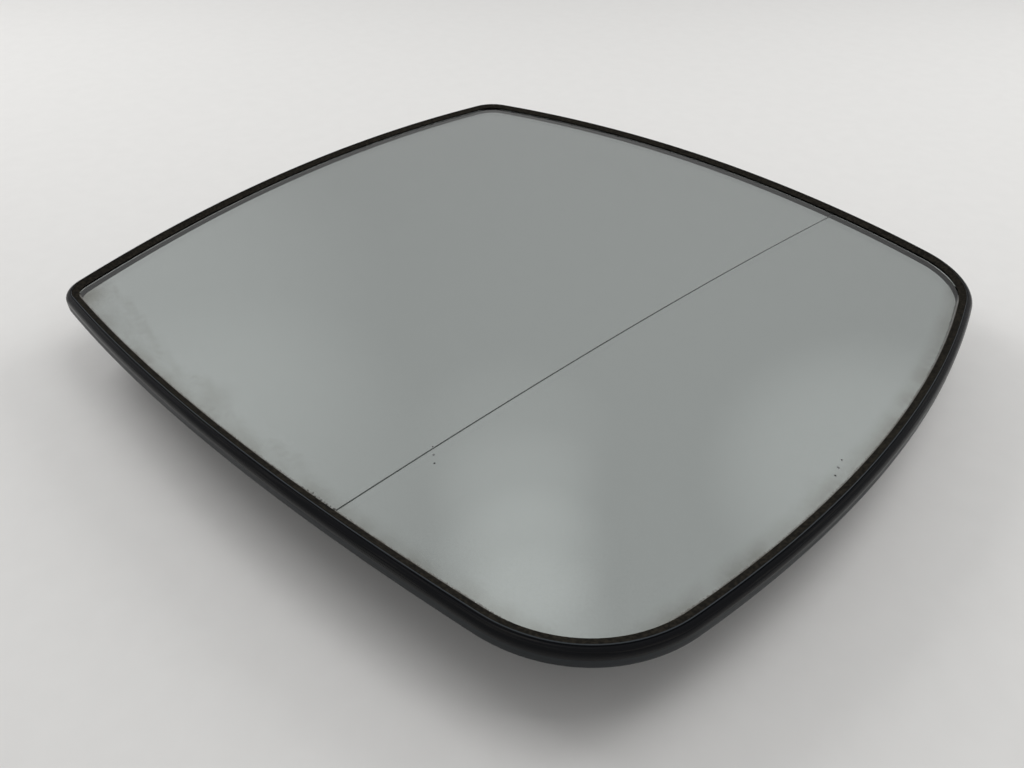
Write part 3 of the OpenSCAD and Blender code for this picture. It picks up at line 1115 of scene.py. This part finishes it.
@dataclass
class MirrorGlass:
    """The bent glass with its coating, chamfered edge and dividing line. Sizes in millimetres."""

    outline: MirrorOutline
    curve: GlassCurve
    inset: float = 2.3
    # A little thinner than the real 2 mm, so that its back stays clear of the foil
    thickness: float = 1.97
    chamfer: float = 0.3
    line_width: float = 0.33
    # Share of a face's normal along Z above which it belongs to the front or, negative, the back
    flat: float = 0.9
    # Seen at a slant through the glass, the line at its back looks this much nearer
    line_shift: float = 0.85
    rings: tuple[float, ...] = (0.975, 0.93, 0.87, 0.79, 0.7, 0.6, 0.5, 0.4, 0.3, 0.2, 0.1)

    def build(self) -> bpy.types.Object:
        """Builds the glass as one closed slab, and replaces the plain node by it.

        Returns:
            The finished glass.
        """
        glass = self.outline.draw("bent_mirror_glass", self.inset, 0.0)
        with editing(glass):
            close_to_centre(self.rings)
            bpy.ops.mesh.select_all(action="SELECT")
            bpy.ops.mesh.normals_make_consistent(inside=False)
        self.face_up(glass)
        modify(glass, "SOLIDIFY", thickness=self.thickness, offset=-1.0, use_even_offset=False)
        with editing(glass):
            bpy.ops.mesh.select_all(action="DESELECT")
            bpy.ops.mesh.edges_select_sharp(sharpness=SHARP_EDGE)
            bevel(self.chamfer)
        self.split_at_line(glass)
        self.curve.lay(glass)
        self.dress(glass)
        finish(glass, sharp=12.0)
        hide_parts("mirror_glass")
        return glass

    @staticmethod
    def face_up(sheet: bpy.types.Object) -> None:
        """Turns a flat sheet over if its faces look down.

        Args:
            sheet: The sheet, without thickness yet.
        """
        if sheet.data.polygons[0].normal.z < 0:
            with editing(sheet):
                bpy.ops.mesh.flip_normals()

    def line_sides(self) -> tuple[float, float]:
        """Returns both sides of the line along X."""
        middle = self.curve.line_x - self.line_shift
        return middle - self.line_width / 2, middle + self.line_width / 2

    def split_at_line(self, glass: bpy.types.Object) -> None:
        """Cuts the slab along both sides of the fine line, whose strip gets its own finish.

        Args:
            glass: The slab.
        """
        with editing(glass):
            for side in self.line_sides():
                bpy.ops.mesh.select_all(action="SELECT")
                bpy.ops.mesh.bisect(plane_co=(side, 0, 0), plane_no=(1, 0, 0))

    def dress(self, glass: bpy.types.Object) -> None:
        """Gives the front, the coated back, the line in the coating and the edge their finishes.

        Args:
            glass: The slab, whose faces get their slots.
        """
        finishes = {GlassFace.FRONT: ClearGlass(self.outline), GlassFace.COATING: MirrorCoating(),
                    GlassFace.LINE: EtchedLine(), GlassFace.EDGE: ShadedGlassEdge()}
        for part in GlassFace:
            glass.data.materials.append(finishes[part].material())
        low, high = self.line_sides()
        for face in glass.data.polygons:
            part = GlassFace.FRONT
            if face.normal.z < -self.flat:
                part = GlassFace.LINE if low < face.center.x < high else GlassFace.COATING
            elif face.normal.z < self.flat:
                part = GlassFace.EDGE
            face.material_index = part.value


@dataclass(frozen=True)
class RimSection:
    """Section of the rim, as inset, height from the glass surface, and zone of the finish."""

    width: float = 3.0
    recess: float = 2.1
    ridge: float = 1.55
    rise: float = 1.0
    groove: float = 1.37
    groove_rise: float = 0.78
    shoulder: float = 1.15
    shoulder_rise: float = 0.9
    wall_top: float = -0.4
    wall: float = 2.4
    lip_gap: float = 0.1
    floor: float = -3.0
    back: float = -5.0

    def points(self) -> list[tuple[float, float, Zone]]:
        """Draws the section.

        Returns:
            Its points from the recess floor over the ridge to the back.
        """
        lip = [(self.recess, self.floor, Zone.RECESS), (self.recess, self.lip_gap, Zone.RECESS),
               (self.width - 0.06, self.lip_gap, Zone.RECESS), (self.width, self.lip_gap + 0.05, Zone.SLOPE)]
        slope = [(self.width - 0.03 - (self.width - self.ridge - 0.15) * k / 7, 0.22 + 0.09 * k, Zone.SLOPE)
                 for k in range(8)]
        # The ridge is a round of 0.15 mm, the groove behind it a narrower one
        ridge = [(self.ridge + 0.09 - 0.18 * k / 4, self.rise - 0.11 * (k / 2 - 1) ** 2, Zone.RIDGE)
                 for k in range(5)]
        groove = [(self.groove + 0.04, self.groove_rise + 0.05, Zone.SHOULDER),
                  (self.groove, self.groove_rise, Zone.SHOULDER),
                  (self.groove - 0.05, self.groove_rise + 0.02, Zone.SHOULDER)]
        rise = self.shoulder_rise - self.wall_top
        turns = [math.radians(90 - 7.5 * k) for k in range(13)]
        shoulder = [(self.shoulder * (1 - math.cos(t)), self.wall_top + rise * math.sin(t), Zone.SHOULDER)
                    for t in turns]
        wall = [(0.01, -1.0, Zone.WALL), (0.03, -1.8, Zone.WALL), (0.05, -self.wall, Zone.WALL),
                (0.12, -self.wall - 0.2, Zone.WALL), (0.25, -self.wall - 0.35, Zone.BACK)]
        under = [(0.7, -3.48, Zone.BACK), (1.155, -4.2, Zone.BACK), (1.6, -4.45, Zone.BACK),
                 (2.1, -4.65, Zone.BACK), (2.7, -4.86, Zone.BACK), (3.4, self.back, Zone.BACK)]
        return lip + slope + ridge + groove + shoulder + wall + under


@dataclass
class Carrier:
    """The black moulding: rim, plate and everything on its back. Sizes in millimetres."""

    outline: MirrorOutline
    curve: GlassCurve
    section: RimSection = field(default_factory=RimSection)
    sheet_inset: float = 7.0
    rings: tuple[float, ...] = (0.9, 0.75, 0.6, 0.45, 0.3, 0.15)
    rib_t: float = 1.6
    rib_count: int = 12
    rib_h: float = 7.0
    rib_end_h: float = 1.8
    rib_inset: float = 9.0
    rib_sweep: float = 1.6
    rib_steps: int = 12
    rib_chamfer: float = 0.35
    hoop_r: float = 62.0
    socket_r: float = 26.0
    socket_t: float = 2.2
    tip_z: float = 0.8
    floor_z: float = 13.0
    finger_count: int = 8
    slot_w: float = 3.0
    slot_h: float = 9.0
    slot_round: float = 0.9
    catch_h: float = 2.0
    catch_depth: float = 0.7
    wire_d: float = 1.6
    wire_seat: float = 0.7
    ring_r: float = 39.5
    ring_t: float = 2.4
    notch_count: int = 4
    notch_w: float = 10.0
    notch_h: float = 5.0
    notch_round: float = 2.0
    terminal_x: float = -56.0
    terminal_pitch: float = 26.0
    guard_x: float = 7.0
    guard_y: float = 11.0
    guard_t: float = 1.4
    guard_h: float = 7.0
    guard_round: float = 0.8
    ejector_r: float = 2.5
    ejector_depth: float = 0.15
    ejector_out: float = 8.0
    ejector_in: float = 10.0
    # Rounds and chamfers: free edges, the socket's floor, its lead-in, and the land beside the wire
    free_edge: float = 0.3
    socket_round: float = 0.4
    socket_lead: float = 0.5
    wire_land: float = 1.0
    window_top: float = 2.5
    # How far a rib runs into what carries it, and a cutter past what it cuts
    merge: float = 0.6
    past: float = 1.0
    # Height above the plate's back up to which a vertex has the finish of the back
    back_margin: float = 0.3
    turn_steps: int = 128

    def build(self) -> bpy.types.Object:
        """Builds the moulding, and replaces the plain node by it.

        Returns:
            The finished carrier.
        """
        carrier, forms = self.moulded_plate(), self.support_ring()
        for form in (self.hoop(), self.socket()):
            combine(forms, form, Cut.JOIN)
        ribs = [self.radial_rib(k) for k in range(self.rib_count)]
        ribs += [self.inner_rib(k) for k in range(self.finger_count)]
        combine(forms, gather("ribs", ribs), Cut.JOIN, touching=True)
        combine(forms, gather("guards", [self.guard(side) for side in (-1, 1)]), Cut.JOIN)
        combine(forms, gather("openings", self.slots() + self.notches()), Cut.REMOVE)
        combine(carrier, gather("ejector_marks", self.ejector_marks()), Cut.REMOVE)
        combine(carrier, forms, Cut.JOIN)
        combine(carrier, gather("windows", self.windows()), Cut.REMOVE)
        self.mark_back(carrier)
        self.dress(carrier)
        finish(carrier, sharp=32.0)
        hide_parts("carrier_plate")
        return carrier

    def dress(self, carrier: bpy.types.Object) -> None:
        """Gives the moulding its finishes: dusty inside the ridge, and the plain plastic elsewhere.

        Args:
            carrier: The whole moulding, with the zones in its mesh.
        """
        carrier.data.materials.clear()
        for finish_of in (MouldedPlastic(), DustyPlastic()):
            carrier.data.materials.append(finish_of.material())
        zones = carrier.data.attributes["zone"].data
        for face in carrier.data.polygons:
            highest = max(zones[index].value for index in face.vertices)
            faces_in = face.normal.xy.dot(face.center.xy.normalized()) < -0.25
            dusty = highest <= Zone.SLOPE.value or (highest <= Zone.RIDGE.value and faces_in)
            face.material_index = 1 if dusty else 0

    def moulded_plate(self) -> bpy.types.Object:
        """Draws the plate with its rim as one closed skin, ring by ring from the recess floor.

        Returns:
            The plate, bent to the glass.
        """
        points = self.section.points()
        plate = self.outline.draw("moulded_carrier", self.sheet_inset, self.section.floor)
        with editing(plate):
            close_to_centre(self.rings)
            pick(plate, Pick.VERTS, lambda place, way: self.outline.near(place, self.sheet_inset))
            bpy.ops.mesh.select_mode(type="EDGE")
            last = self.sheet_inset, self.section.floor
            for inset, height, _ in points:
                self.outline.step(plate, inset - last[0], height - last[1])
                last = inset, height
            self.outline.step(plate, self.sheet_inset - last[0], 0.0)
            close_to_centre(self.rings)
            bpy.ops.mesh.select_all(action="SELECT")
            bpy.ops.mesh.remove_doubles(threshold=MERGE)
            bpy.ops.mesh.normals_make_consistent(inside=False)
        self.mark_zones(plate, points)
        self.curve.lay(plate)
        return plate

    def mark_zones(self, plate: bpy.types.Object, points: list[tuple[float, float, Zone]]) -> None:
        """Writes to the mesh what the plastic's finish reads: the zone and the unrolled rim.

        Args:
            plate: The flat plate, with heights from the glass surface.
            points: The rim's section.
        """
        rows, girth, last = {}, 0.0, points[0][:2]
        for inset, height, zone in points:
            girth += math.dist(last, (inset, height))
            last = inset, height
            rows[round(height, 3)] = zone.value, girth
        zones = plate.data.attributes.new("zone", "FLOAT", "POINT")
        places = plate.data.attributes.new("rim_place", "FLOAT_VECTOR", "POINT")
        for index, vertex in enumerate(plate.data.vertices):
            zone, girth = rows.get(round(vertex.co.z, 3), (Zone.BACK.value, 0.0))
            zones.data[index].value = zone
            places.data[index].vector = self.outline.unrolled(vertex.co) + Vector((0, 0, girth))

    def mark_back(self, carrier: bpy.types.Object) -> None:
        """Gives every vertex at the plate's back or below it the zone of the back.

        Args:
            carrier: The whole moulding.
        """
        layer = carrier.data.attributes.get("zone")
        limit = self.section.back + self.back_margin
        for index, vertex in enumerate(carrier.data.vertices):
            if vertex.co.z - self.curve.height(vertex.co.x, vertex.co.y) < limit:
                layer.data[index].value = Zone.BACK.value

    def reach(self, angle: float) -> float:
        """Finds how far the outline is from the centre.

        Args:
            angle: Direction in radians.

        Returns:
            The distance in millimetres.
        """
        u = Vector((math.cos(angle), math.sin(angle)))
        found = []
        for i in range(4):
            centre, radius = self.outline.edge_centre(i), self.outline.edges[i][2]
            along = centre.dot(u)
            found.append(along + math.sqrt(radius**2 - centre.length_squared + along**2))
        return min(found)

    def radial_rib(self, k: int) -> bpy.types.Object:
        """Models a rib that sweeps up from the support ring to its low outer end, under the plate.

        Args:
            k: Number of the rib.

        Returns:
            The rib in its place.
        """
        angle = FULL_TURN * (k + 0.5) / self.rib_count
        inner, outer = self.ring_r - self.ring_t / 2, self.reach(angle) - self.rib_inset
        top, low = self.section.back + self.merge, self.section.back - self.rib_h
        rib = block("radial_rib", (inner, -self.rib_t / 2, low), (outer, self.rib_t / 2, top))
        with editing(rib):
            for cut in range(1, self.rib_steps):
                bpy.ops.mesh.select_all(action="SELECT")
                place = inner + (outer - inner) * cut / self.rib_steps
                bpy.ops.mesh.bisect(plane_co=(place, 0, 0), plane_no=(1, 0, 0))
        for vertex in rib.data.vertices:
            if vertex.co.z < top - 0.1:
                left = max(0.0, (outer - vertex.co.x) / (outer - inner))
                drop = self.rib_end_h + (self.rib_h - self.rib_end_h) * left**self.rib_sweep
                vertex.co.z = self.section.back - drop
        with editing(rib):
            pick(rib, Pick.FACES, lambda place, way: way.z < LOOKS_DOWN)
            bpy.ops.mesh.region_to_loop()
            bevel(self.free_edge)
        turn(rib, angle)
        self.curve.lay(rib)
        return rib

    def inner_rib(self, k: int) -> bpy.types.Object:
        """Models a short rib between the socket and the support ring.

        Args:
            k: Number of the rib.

        Returns:
            The rib in its place.
        """
        # It ends a little before the radial ribs begin, so that both merge inside the support ring
        inner, outer = self.socket_r + self.socket_t / 2, self.ring_r - self.ring_t / 2 - self.merge / 2
        top = self.curve.height(outer, 0) + self.section.back + self.merge / 2
        rib = block("inner_rib", (inner, -self.rib_t / 2, self.tip_z + self.slot_h + self.past),
                    (outer, self.rib_t / 2, top))
        return turn(rib, FULL_TURN * k / self.finger_count)

    def round_rib(self, name: str, inner: float, outer: float, low: float, top: float) -> bpy.types.Object:
        """Turns a rib between two radii, with a chamfered lower edge.

        Args:
            name: Name of the rib.
            inner: Its inner radius in millimetres.
            outer: Its outer radius.
            low: Height of its free edge.
            top: Height of its root.

        Returns:
            The turned rib.
        """
        c = self.rib_chamfer
        return turned_solid(name, [(inner, top), (inner, low + c), (inner + c, low), (outer - c, low),
                                   (outer, low + c), (outer, top)], self.turn_steps)

    def hoop(self) -> bpy.types.Object:
        """Turns the round stiffening rib.

        Returns:
            The rib.
        """
        root = self.curve.height(self.hoop_r, 0) + self.section.back
        return self.round_rib("hoop", self.hoop_r - self.rib_t / 2, self.hoop_r + self.rib_t / 2,
                              root - self.rib_end_h, root + self.merge / 2)

    def support_ring(self) -> bpy.types.Object:
        """Turns the ring that the part rests on."""
        root = self.curve.height(self.ring_r, 0) + self.section.back + self.merge / 2
        return self.round_rib("support_ring", self.ring_r - self.ring_t, self.ring_r, 0.0, root)

    def socket(self) -> bpy.types.Object:
        """Turns the socket: floor, wall, catch groove, wire groove and lead-in.

        Returns:
            The socket without its slots.
        """
        inner, outer = self.socket_r, self.socket_r + self.socket_t
        root = self.curve.height(outer, 0) + self.section.back + self.merge / 2
        wire_z = self.tip_z + self.wire_land + self.wire_d / 2
        wire_x = outer - self.wire_seat + self.wire_d / 2
        catch_z = wire_z + self.wire_d / 2 + self.wire_land
        catch_top, catch_r = catch_z + self.catch_h, inner + self.catch_depth
        half = math.acos((wire_x - outer) / (self.wire_d / 2))
        turns = [math.pi + half - 2 * half * k / 10 for k in range(11)]
        seat = [(wire_x + self.wire_d / 2 * math.cos(t), wire_z + self.wire_d / 2 * math.sin(t))
                for t in turns]
        return turned_solid("socket", [
            (0.0, self.floor_z), (inner - self.socket_round, self.floor_z),
            (inner, self.floor_z - self.socket_round), (inner, catch_top),
            (catch_r, catch_top - self.catch_depth), (catch_r, catch_z + self.catch_depth),
            (inner, catch_z), (inner, self.tip_z + self.socket_lead),
            (inner + self.socket_lead, self.tip_z), (outer - self.free_edge, self.tip_z),
            (outer, self.tip_z + self.free_edge), *seat, (outer, root), (0.0, root)], self.turn_steps)

    def terminal_place(self, side: int) -> Vector:
        """Returns the middle of a terminal in plan, side 1 for the upper one and -1 for the lower."""
        return Vector((self.terminal_x, side * self.terminal_pitch / 2))

    def guard(self, side: int) -> bpy.types.Object:
        """Models the box round a terminal, with soft edges.

        Args:
            side: 1 for the upper terminal, -1 for the lower one.

        Returns:
            The guard, not yet hollow.
        """
        place = self.terminal_place(side)
        root = self.curve.height(place.x, place.y) + self.section.back
        guard = soft_box("guard", place, self.guard_x + 2 * self.guard_t, self.guard_y + 2 * self.guard_t,
                         root - self.guard_h, root + self.merge, self.guard_round + self.guard_t)
        with editing(guard):
            pick(guard, Pick.FACES, lambda middle, way: way.z < LOOKS_DOWN)
            bpy.ops.mesh.region_to_loop()
            bevel(self.free_edge)
        return guard

    def slots(self) -> list[bpy.types.Object]:
        """Makes the blocks that cut the slots between the snap fingers.

        Returns:
            One block for each slot.
        """
        slot = block("slot", (self.socket_r - self.past, -self.slot_w / 2, self.tip_z - self.past),
                     (self.socket_r + self.socket_t + self.past, self.slot_w / 2, self.tip_z + self.slot_h))
        self.soften_top(slot, self.slot_round)
        return turned_copies(slot, self.finger_count)

    def notches(self) -> list[bpy.types.Object]:
        """Makes the blocks that cut the vent notches of the support ring.

        Returns:
            One block for each notch.
        """
        notch = block("notch", (self.ring_r - self.ring_t - self.past, -self.notch_w / 2, -self.past),
                      (self.ring_r + self.past, self.notch_w / 2, self.notch_h))
        self.soften_top(notch, self.notch_round)
        return turned_copies(notch, self.notch_count)

    @staticmethod
    def soften_top(cutter: bpy.types.Object, radius: float) -> None:
        """Rounds the two upper edges of a cutter that run along X.

        Args:
            cutter: The block.
            radius: Radius of the rounds in millimetres.
        """
        top = max(vertex.co.z for vertex in cutter.data.vertices)
        with editing(cutter):
            pick(cutter, Pick.EDGES, lambda place, span: place.z > top - 0.01 and abs(span.x) > abs(span.y))
            bevel(radius, ROUND_STEPS)

    def ejector_marks(self) -> list[bpy.types.Object]:
        """Makes the discs that press shallow ejector marks into the plate's back, beside the hoop.

        Returns:
            One disc for each mark.
        """
        tools = []
        for k in range(self.rib_count):
            angle = FULL_TURN * k / self.rib_count
            distance = self.hoop_r + (self.ejector_out if k % 2 else -self.ejector_in)
            x, y = distance * math.cos(angle), distance * math.sin(angle)
            if abs(x - self.terminal_x) < self.guard_x and abs(y) < self.terminal_pitch:
                continue
            top = self.curve.height(x, y) + self.section.back + self.ejector_depth
            bpy.ops.mesh.primitive_cylinder_add(vertices=32, radius=self.ejector_r, depth=2.0,
                                                location=(x, y, top - 1.0))
            alone(bpy.context.object)
            bpy.ops.object.transform_apply(location=True, rotation=True, scale=True)
            tools.append(bpy.context.object)
        return tools

    def windows(self) -> list[bpy.types.Object]:
        """Makes the blocks that cut the two windows of the terminals.

        Returns:
            Both blocks.
        """
        tools = []
        for side in (-1, 1):
            place = self.terminal_place(side)
            root = self.curve.height(place.x, place.y) + self.section.back
            tools.append(soft_box("window", place, self.guard_x, self.guard_y,
                                  root - self.guard_h - self.past, root + self.window_top, self.guard_round))
        return tools


@dataclass
class CurvedSheet:
    """A thin sheet between glass and plate that follows the glass. Sizes in millimetres."""

    outline: MirrorOutline
    curve: GlassCurve
    name: str
    node: str
    top: float
    thickness: float
    finish_of: HeaterFilm | FoamSheet
    inset: float = 7.0
    rings: tuple[float, ...] = (0.9, 0.75, 0.6, 0.45, 0.3, 0.15)

    def build(self, windows: list[bpy.types.Object]) -> bpy.types.Object:
        """Cuts the sheet to the outline, gives it its thickness and replaces the plain node by it.

        Args:
            windows: Blocks to cut out of the sheet, none for a closed one.

        Returns:
            The finished sheet.
        """
        sheet = self.outline.draw(self.name, self.inset, self.top)
        with editing(sheet):
            close_to_centre(self.rings)
            bpy.ops.mesh.select_all(action="SELECT")
            bpy.ops.mesh.normals_make_consistent(inside=False)
        MirrorGlass.face_up(sheet)
        modify(sheet, "SOLIDIFY", thickness=self.thickness, offset=-1.0, use_even_offset=False)
        self.curve.lay(sheet)
        if windows:
            combine(sheet, gather("windows", windows), Cut.REMOVE)
        sheet.data.materials.clear()
        sheet.data.materials.append(self.finish_of.material())
        finish(sheet)
        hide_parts(self.node)
        return sheet


@dataclass
class RetainingWire:
    """Open ring of spring wire round the socket's fingers, with its ends bent outwards.

    Sizes in millimetres.
    """

    radius: float = 28.3
    wire_r: float = 0.75
    height: float = 2.6
    opening: float = 16.0
    bend: float = 2.0
    tail: float = 2.5
    tip_round: float = 0.2
    sides: int = 16
    steps: int = 120
    bend_steps: int = 10

    def build(self) -> bpy.types.Object:
        """Sweeps a round section from one tail round the ring to the other, and replaces the plain node.

        Returns:
            The finished ring.
        """
        corner = self.radius + self.bend
        bpy.ops.mesh.primitive_circle_add(
            vertices=self.sides, radius=self.wire_r, fill_type="NGON", rotation=(0, math.pi / 2, 0),
            location=(corner + self.tail, -self.bend, self.height))
        wire = bpy.context.object
        wire.name = "retaining_wire"
        bpy.ops.object.transform_apply(location=True, rotation=True, scale=True)
        # It is drawn with its first tail along X, and turned by half the opening afterwards
        opening = math.radians(self.opening)
        away = Vector((math.cos(opening), -math.sin(opening), 0))
        with editing(wire):
            bpy.ops.mesh.extrude_region_move(TRANSFORM_OT_translate={"value": (-self.tail, 0, 0)})
            bpy.ops.mesh.spin(steps=self.bend_steps, angle=FULL_TURN / 4, center=(corner, 0, 0),
                              axis=(0, 0, 1))
            bpy.ops.mesh.spin(steps=self.steps, angle=FULL_TURN - opening, center=(0, 0, 0),
                              axis=(0, 0, -1))
            bpy.ops.mesh.spin(steps=self.bend_steps, angle=FULL_TURN / 4, center=away * corner,
                              axis=(0, 0, 1))
            bpy.ops.mesh.extrude_region_move(TRANSFORM_OT_translate={"value": away * self.tail})
            bpy.ops.mesh.select_all(action="SELECT")
            bpy.ops.mesh.remove_doubles(threshold=MERGE)
            bpy.ops.mesh.normals_make_consistent(inside=False)
            bpy.ops.mesh.select_all(action="DESELECT")
            bpy.ops.mesh.edges_select_sharp(sharpness=SHARP_EDGE)
            bevel(self.tip_round, 3)
        turn(wire, opening / 2)
        wire.data.materials.append(DrawnSteel().material())
        finish(wire, sharp=50.0)
        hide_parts("retaining_ring")
        return wire


@dataclass(frozen=True)
class CarriedNode:
    """A node of the frame whose shape stays, with the finish of the real piece."""

    node: str
    finish_of: TinnedBrass

    def dress(self) -> bpy.types.Object:
        """Gives the node its finish.

        Returns:
            The node's object.
        """
        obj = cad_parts[self.node]
        obj.data.materials.clear()
        obj.data.materials.append(self.finish_of.material())
        return obj


# Light, floor and camera


def aim(heading: float, rise: float) -> Vector:
    """Turns two angles into a direction.

    Args:
        heading: Direction in plan, in degrees.
        rise: Height angle, in degrees.

    Returns:
        The unit vector.
    """
    a, b = math.radians(heading), math.radians(rise)
    return Vector((math.cos(b) * math.cos(a), math.cos(b) * math.sin(a), math.sin(b)))


@dataclass(frozen=True)
class Glow:
    """A soft round patch of the room: direction, angles in degrees of its full part and its end,
    and the brightness that it adds."""

    heading: float
    rise: float
    inner: float
    outer: float
    amount: float


@dataclass(frozen=True)
class Lamp:
    """A soft square lamp: direction in degrees, distance and size in metres, and power in watts."""

    name: str
    heading: float
    rise: float
    distance: float
    size: float
    power: float


@dataclass
class Studio:
    """A pale table top, three soft lamps round it, and the camera at the photograph's angle.

    Sizes and places are in metres, angles in degrees and the lens in millimetres.
    """

    eye: tuple[float, float, float] = (0.12775, -0.12275, 0.12314)
    heading: float = 136.99
    down: float = 38.03
    lens: float = 29.9
    sensor: float = 36.0
    clip: float = 0.005
    room: float = 0.467
    room_tone: str = "fcfcfc"
    floor_r: float = 3.0
    glows: tuple[Glow, ...] = (
        Glow(137.0, 47.0, 0.0, 9.0, 0.04), Glow(136.0, 52.5, 0.0, 8.0, 0.065),
        Glow(134.5, 58.0, 0.0, 8.0, 0.1), Glow(133.0, 63.5, 0.0, 8.0, 0.11),
        Glow(99.0, 42.0, 0.0, 13.0, 0.115), Glow(180.0, 26.0, 6.0, 30.0, 0.115),
        Glow(167.0, 43.0, 0.0, 16.0, 0.06), Glow(122.0, 46.0, 6.0, 38.0, 0.026))
    lamps: tuple[Lamp, ...] = (
        Lamp("left_window", 195.0, 40.0, 0.6, 0.27, 1.14), Lamp("right_window", 75.0, 40.0, 0.6, 0.27, 0.9),
        Lamp("ceiling_light", 40.0, 75.0, 0.6, 0.27, 0.54))

    def camera(self) -> None:
        """Sets the camera."""
        look = aim(self.heading, -self.down)
        bpy.ops.object.camera_add(location=self.eye, rotation=look.to_track_quat("-Z", "Y").to_euler())
        camera = bpy.context.object
        camera.data.lens = self.lens
        camera.data.sensor_width = self.sensor
        camera.data.clip_start = self.clip
        bpy.context.scene.camera = camera

    def floor(self) -> None:
        """Lays the table top."""
        bpy.ops.mesh.primitive_circle_add(vertices=96, radius=self.floor_r, fill_type="NGON")
        floor = bpy.context.object
        floor.name = "table_top"
        floor.data.materials.append(PaintedBoard().material())

    def light(self, lamp: Lamp) -> None:
        """Adds a lamp. It lights the part and the table, and has no glare of its own in the mirror.

        Args:
            lamp: The lamp to add.
        """
        place = aim(lamp.heading, lamp.rise) * lamp.distance
        facing = place.to_track_quat("Z", "Y").to_euler()
        bpy.ops.object.light_add(type="AREA", location=place, rotation=facing)
        light = bpy.context.object
        light.name = lamp.name
        light.data.size = lamp.size
        light.data.energy = lamp.power
        light.visible_glossy = False
        light.visible_transmission = False

    def world(self) -> None:
        """Sets the room that the mirror shows: pale and even, with a few faint soft patches."""
        world = bpy.data.worlds.new("pale_room")
        bpy.context.scene.world = world
        world.use_nodes = True
        tree = world.node_tree
        tree.nodes.clear()
        way = add(tree, "TexCoord").outputs["Generated"]
        level = self.room
        for glow in self.glows:
            near = add(tree, "VectorMath", {0: way, 1: aim(glow.heading, glow.rise)}, operation="DOT_PRODUCT")
            patch = add(tree, "MapRange", {
                "Value": near.outputs["Value"], "From Min": math.cos(math.radians(glow.outer)),
                "From Max": math.cos(math.radians(glow.inner)), "To Min": 0.0, "To Max": glow.amount},
                interpolation_type="SMOOTHSTEP")
            level = add(tree, "Math", {0: level, 1: patch}, operation="ADD")
        back = add(tree, "Background", {"Color": linear(self.room_tone), "Strength": level})
        add(tree, "OutputWorld", {"Surface": back})

    def build(self) -> None:
        """Builds the whole set."""
        self.camera()
        self.floor()
        self.world()
        for lamp in self.lamps:
            self.light(lamp)
        bpy.context.scene.view_settings.view_transform = "Standard"


def main() -> None:
    """Builds the studio and the pieces in order."""
    logging.basicConfig(level=logging.INFO, format="%(message)s")
    Studio().build()
    outline, curve = MirrorOutline(), GlassCurve()
    carrier = Carrier(outline, curve)
    foil = CurvedSheet(outline, curve, "heater_film", "heating_foil", top=-2.0, thickness=0.34,
                       finish_of=HeaterFilm())
    foam = CurvedSheet(outline, curve, "foam_sheet", "foam_adhesive", top=-2.36, thickness=0.62,
                       finish_of=FoamSheet())
    terminals = [CarriedNode(node, TinnedBrass())
                 for node in ("heater_terminal_upper", "heater_terminal_lower")]
    pieces = [MirrorGlass(outline, curve).build(), carrier.build(), foil.build([]),
              foam.build(carrier.windows()), RetainingWire().build(), *(piece.dress() for piece in terminals)]
    for piece in pieces:
        log.info("%s: %d faces", piece.name, len(piece.data.polygons))


if __name__ == "__main__":
    main()
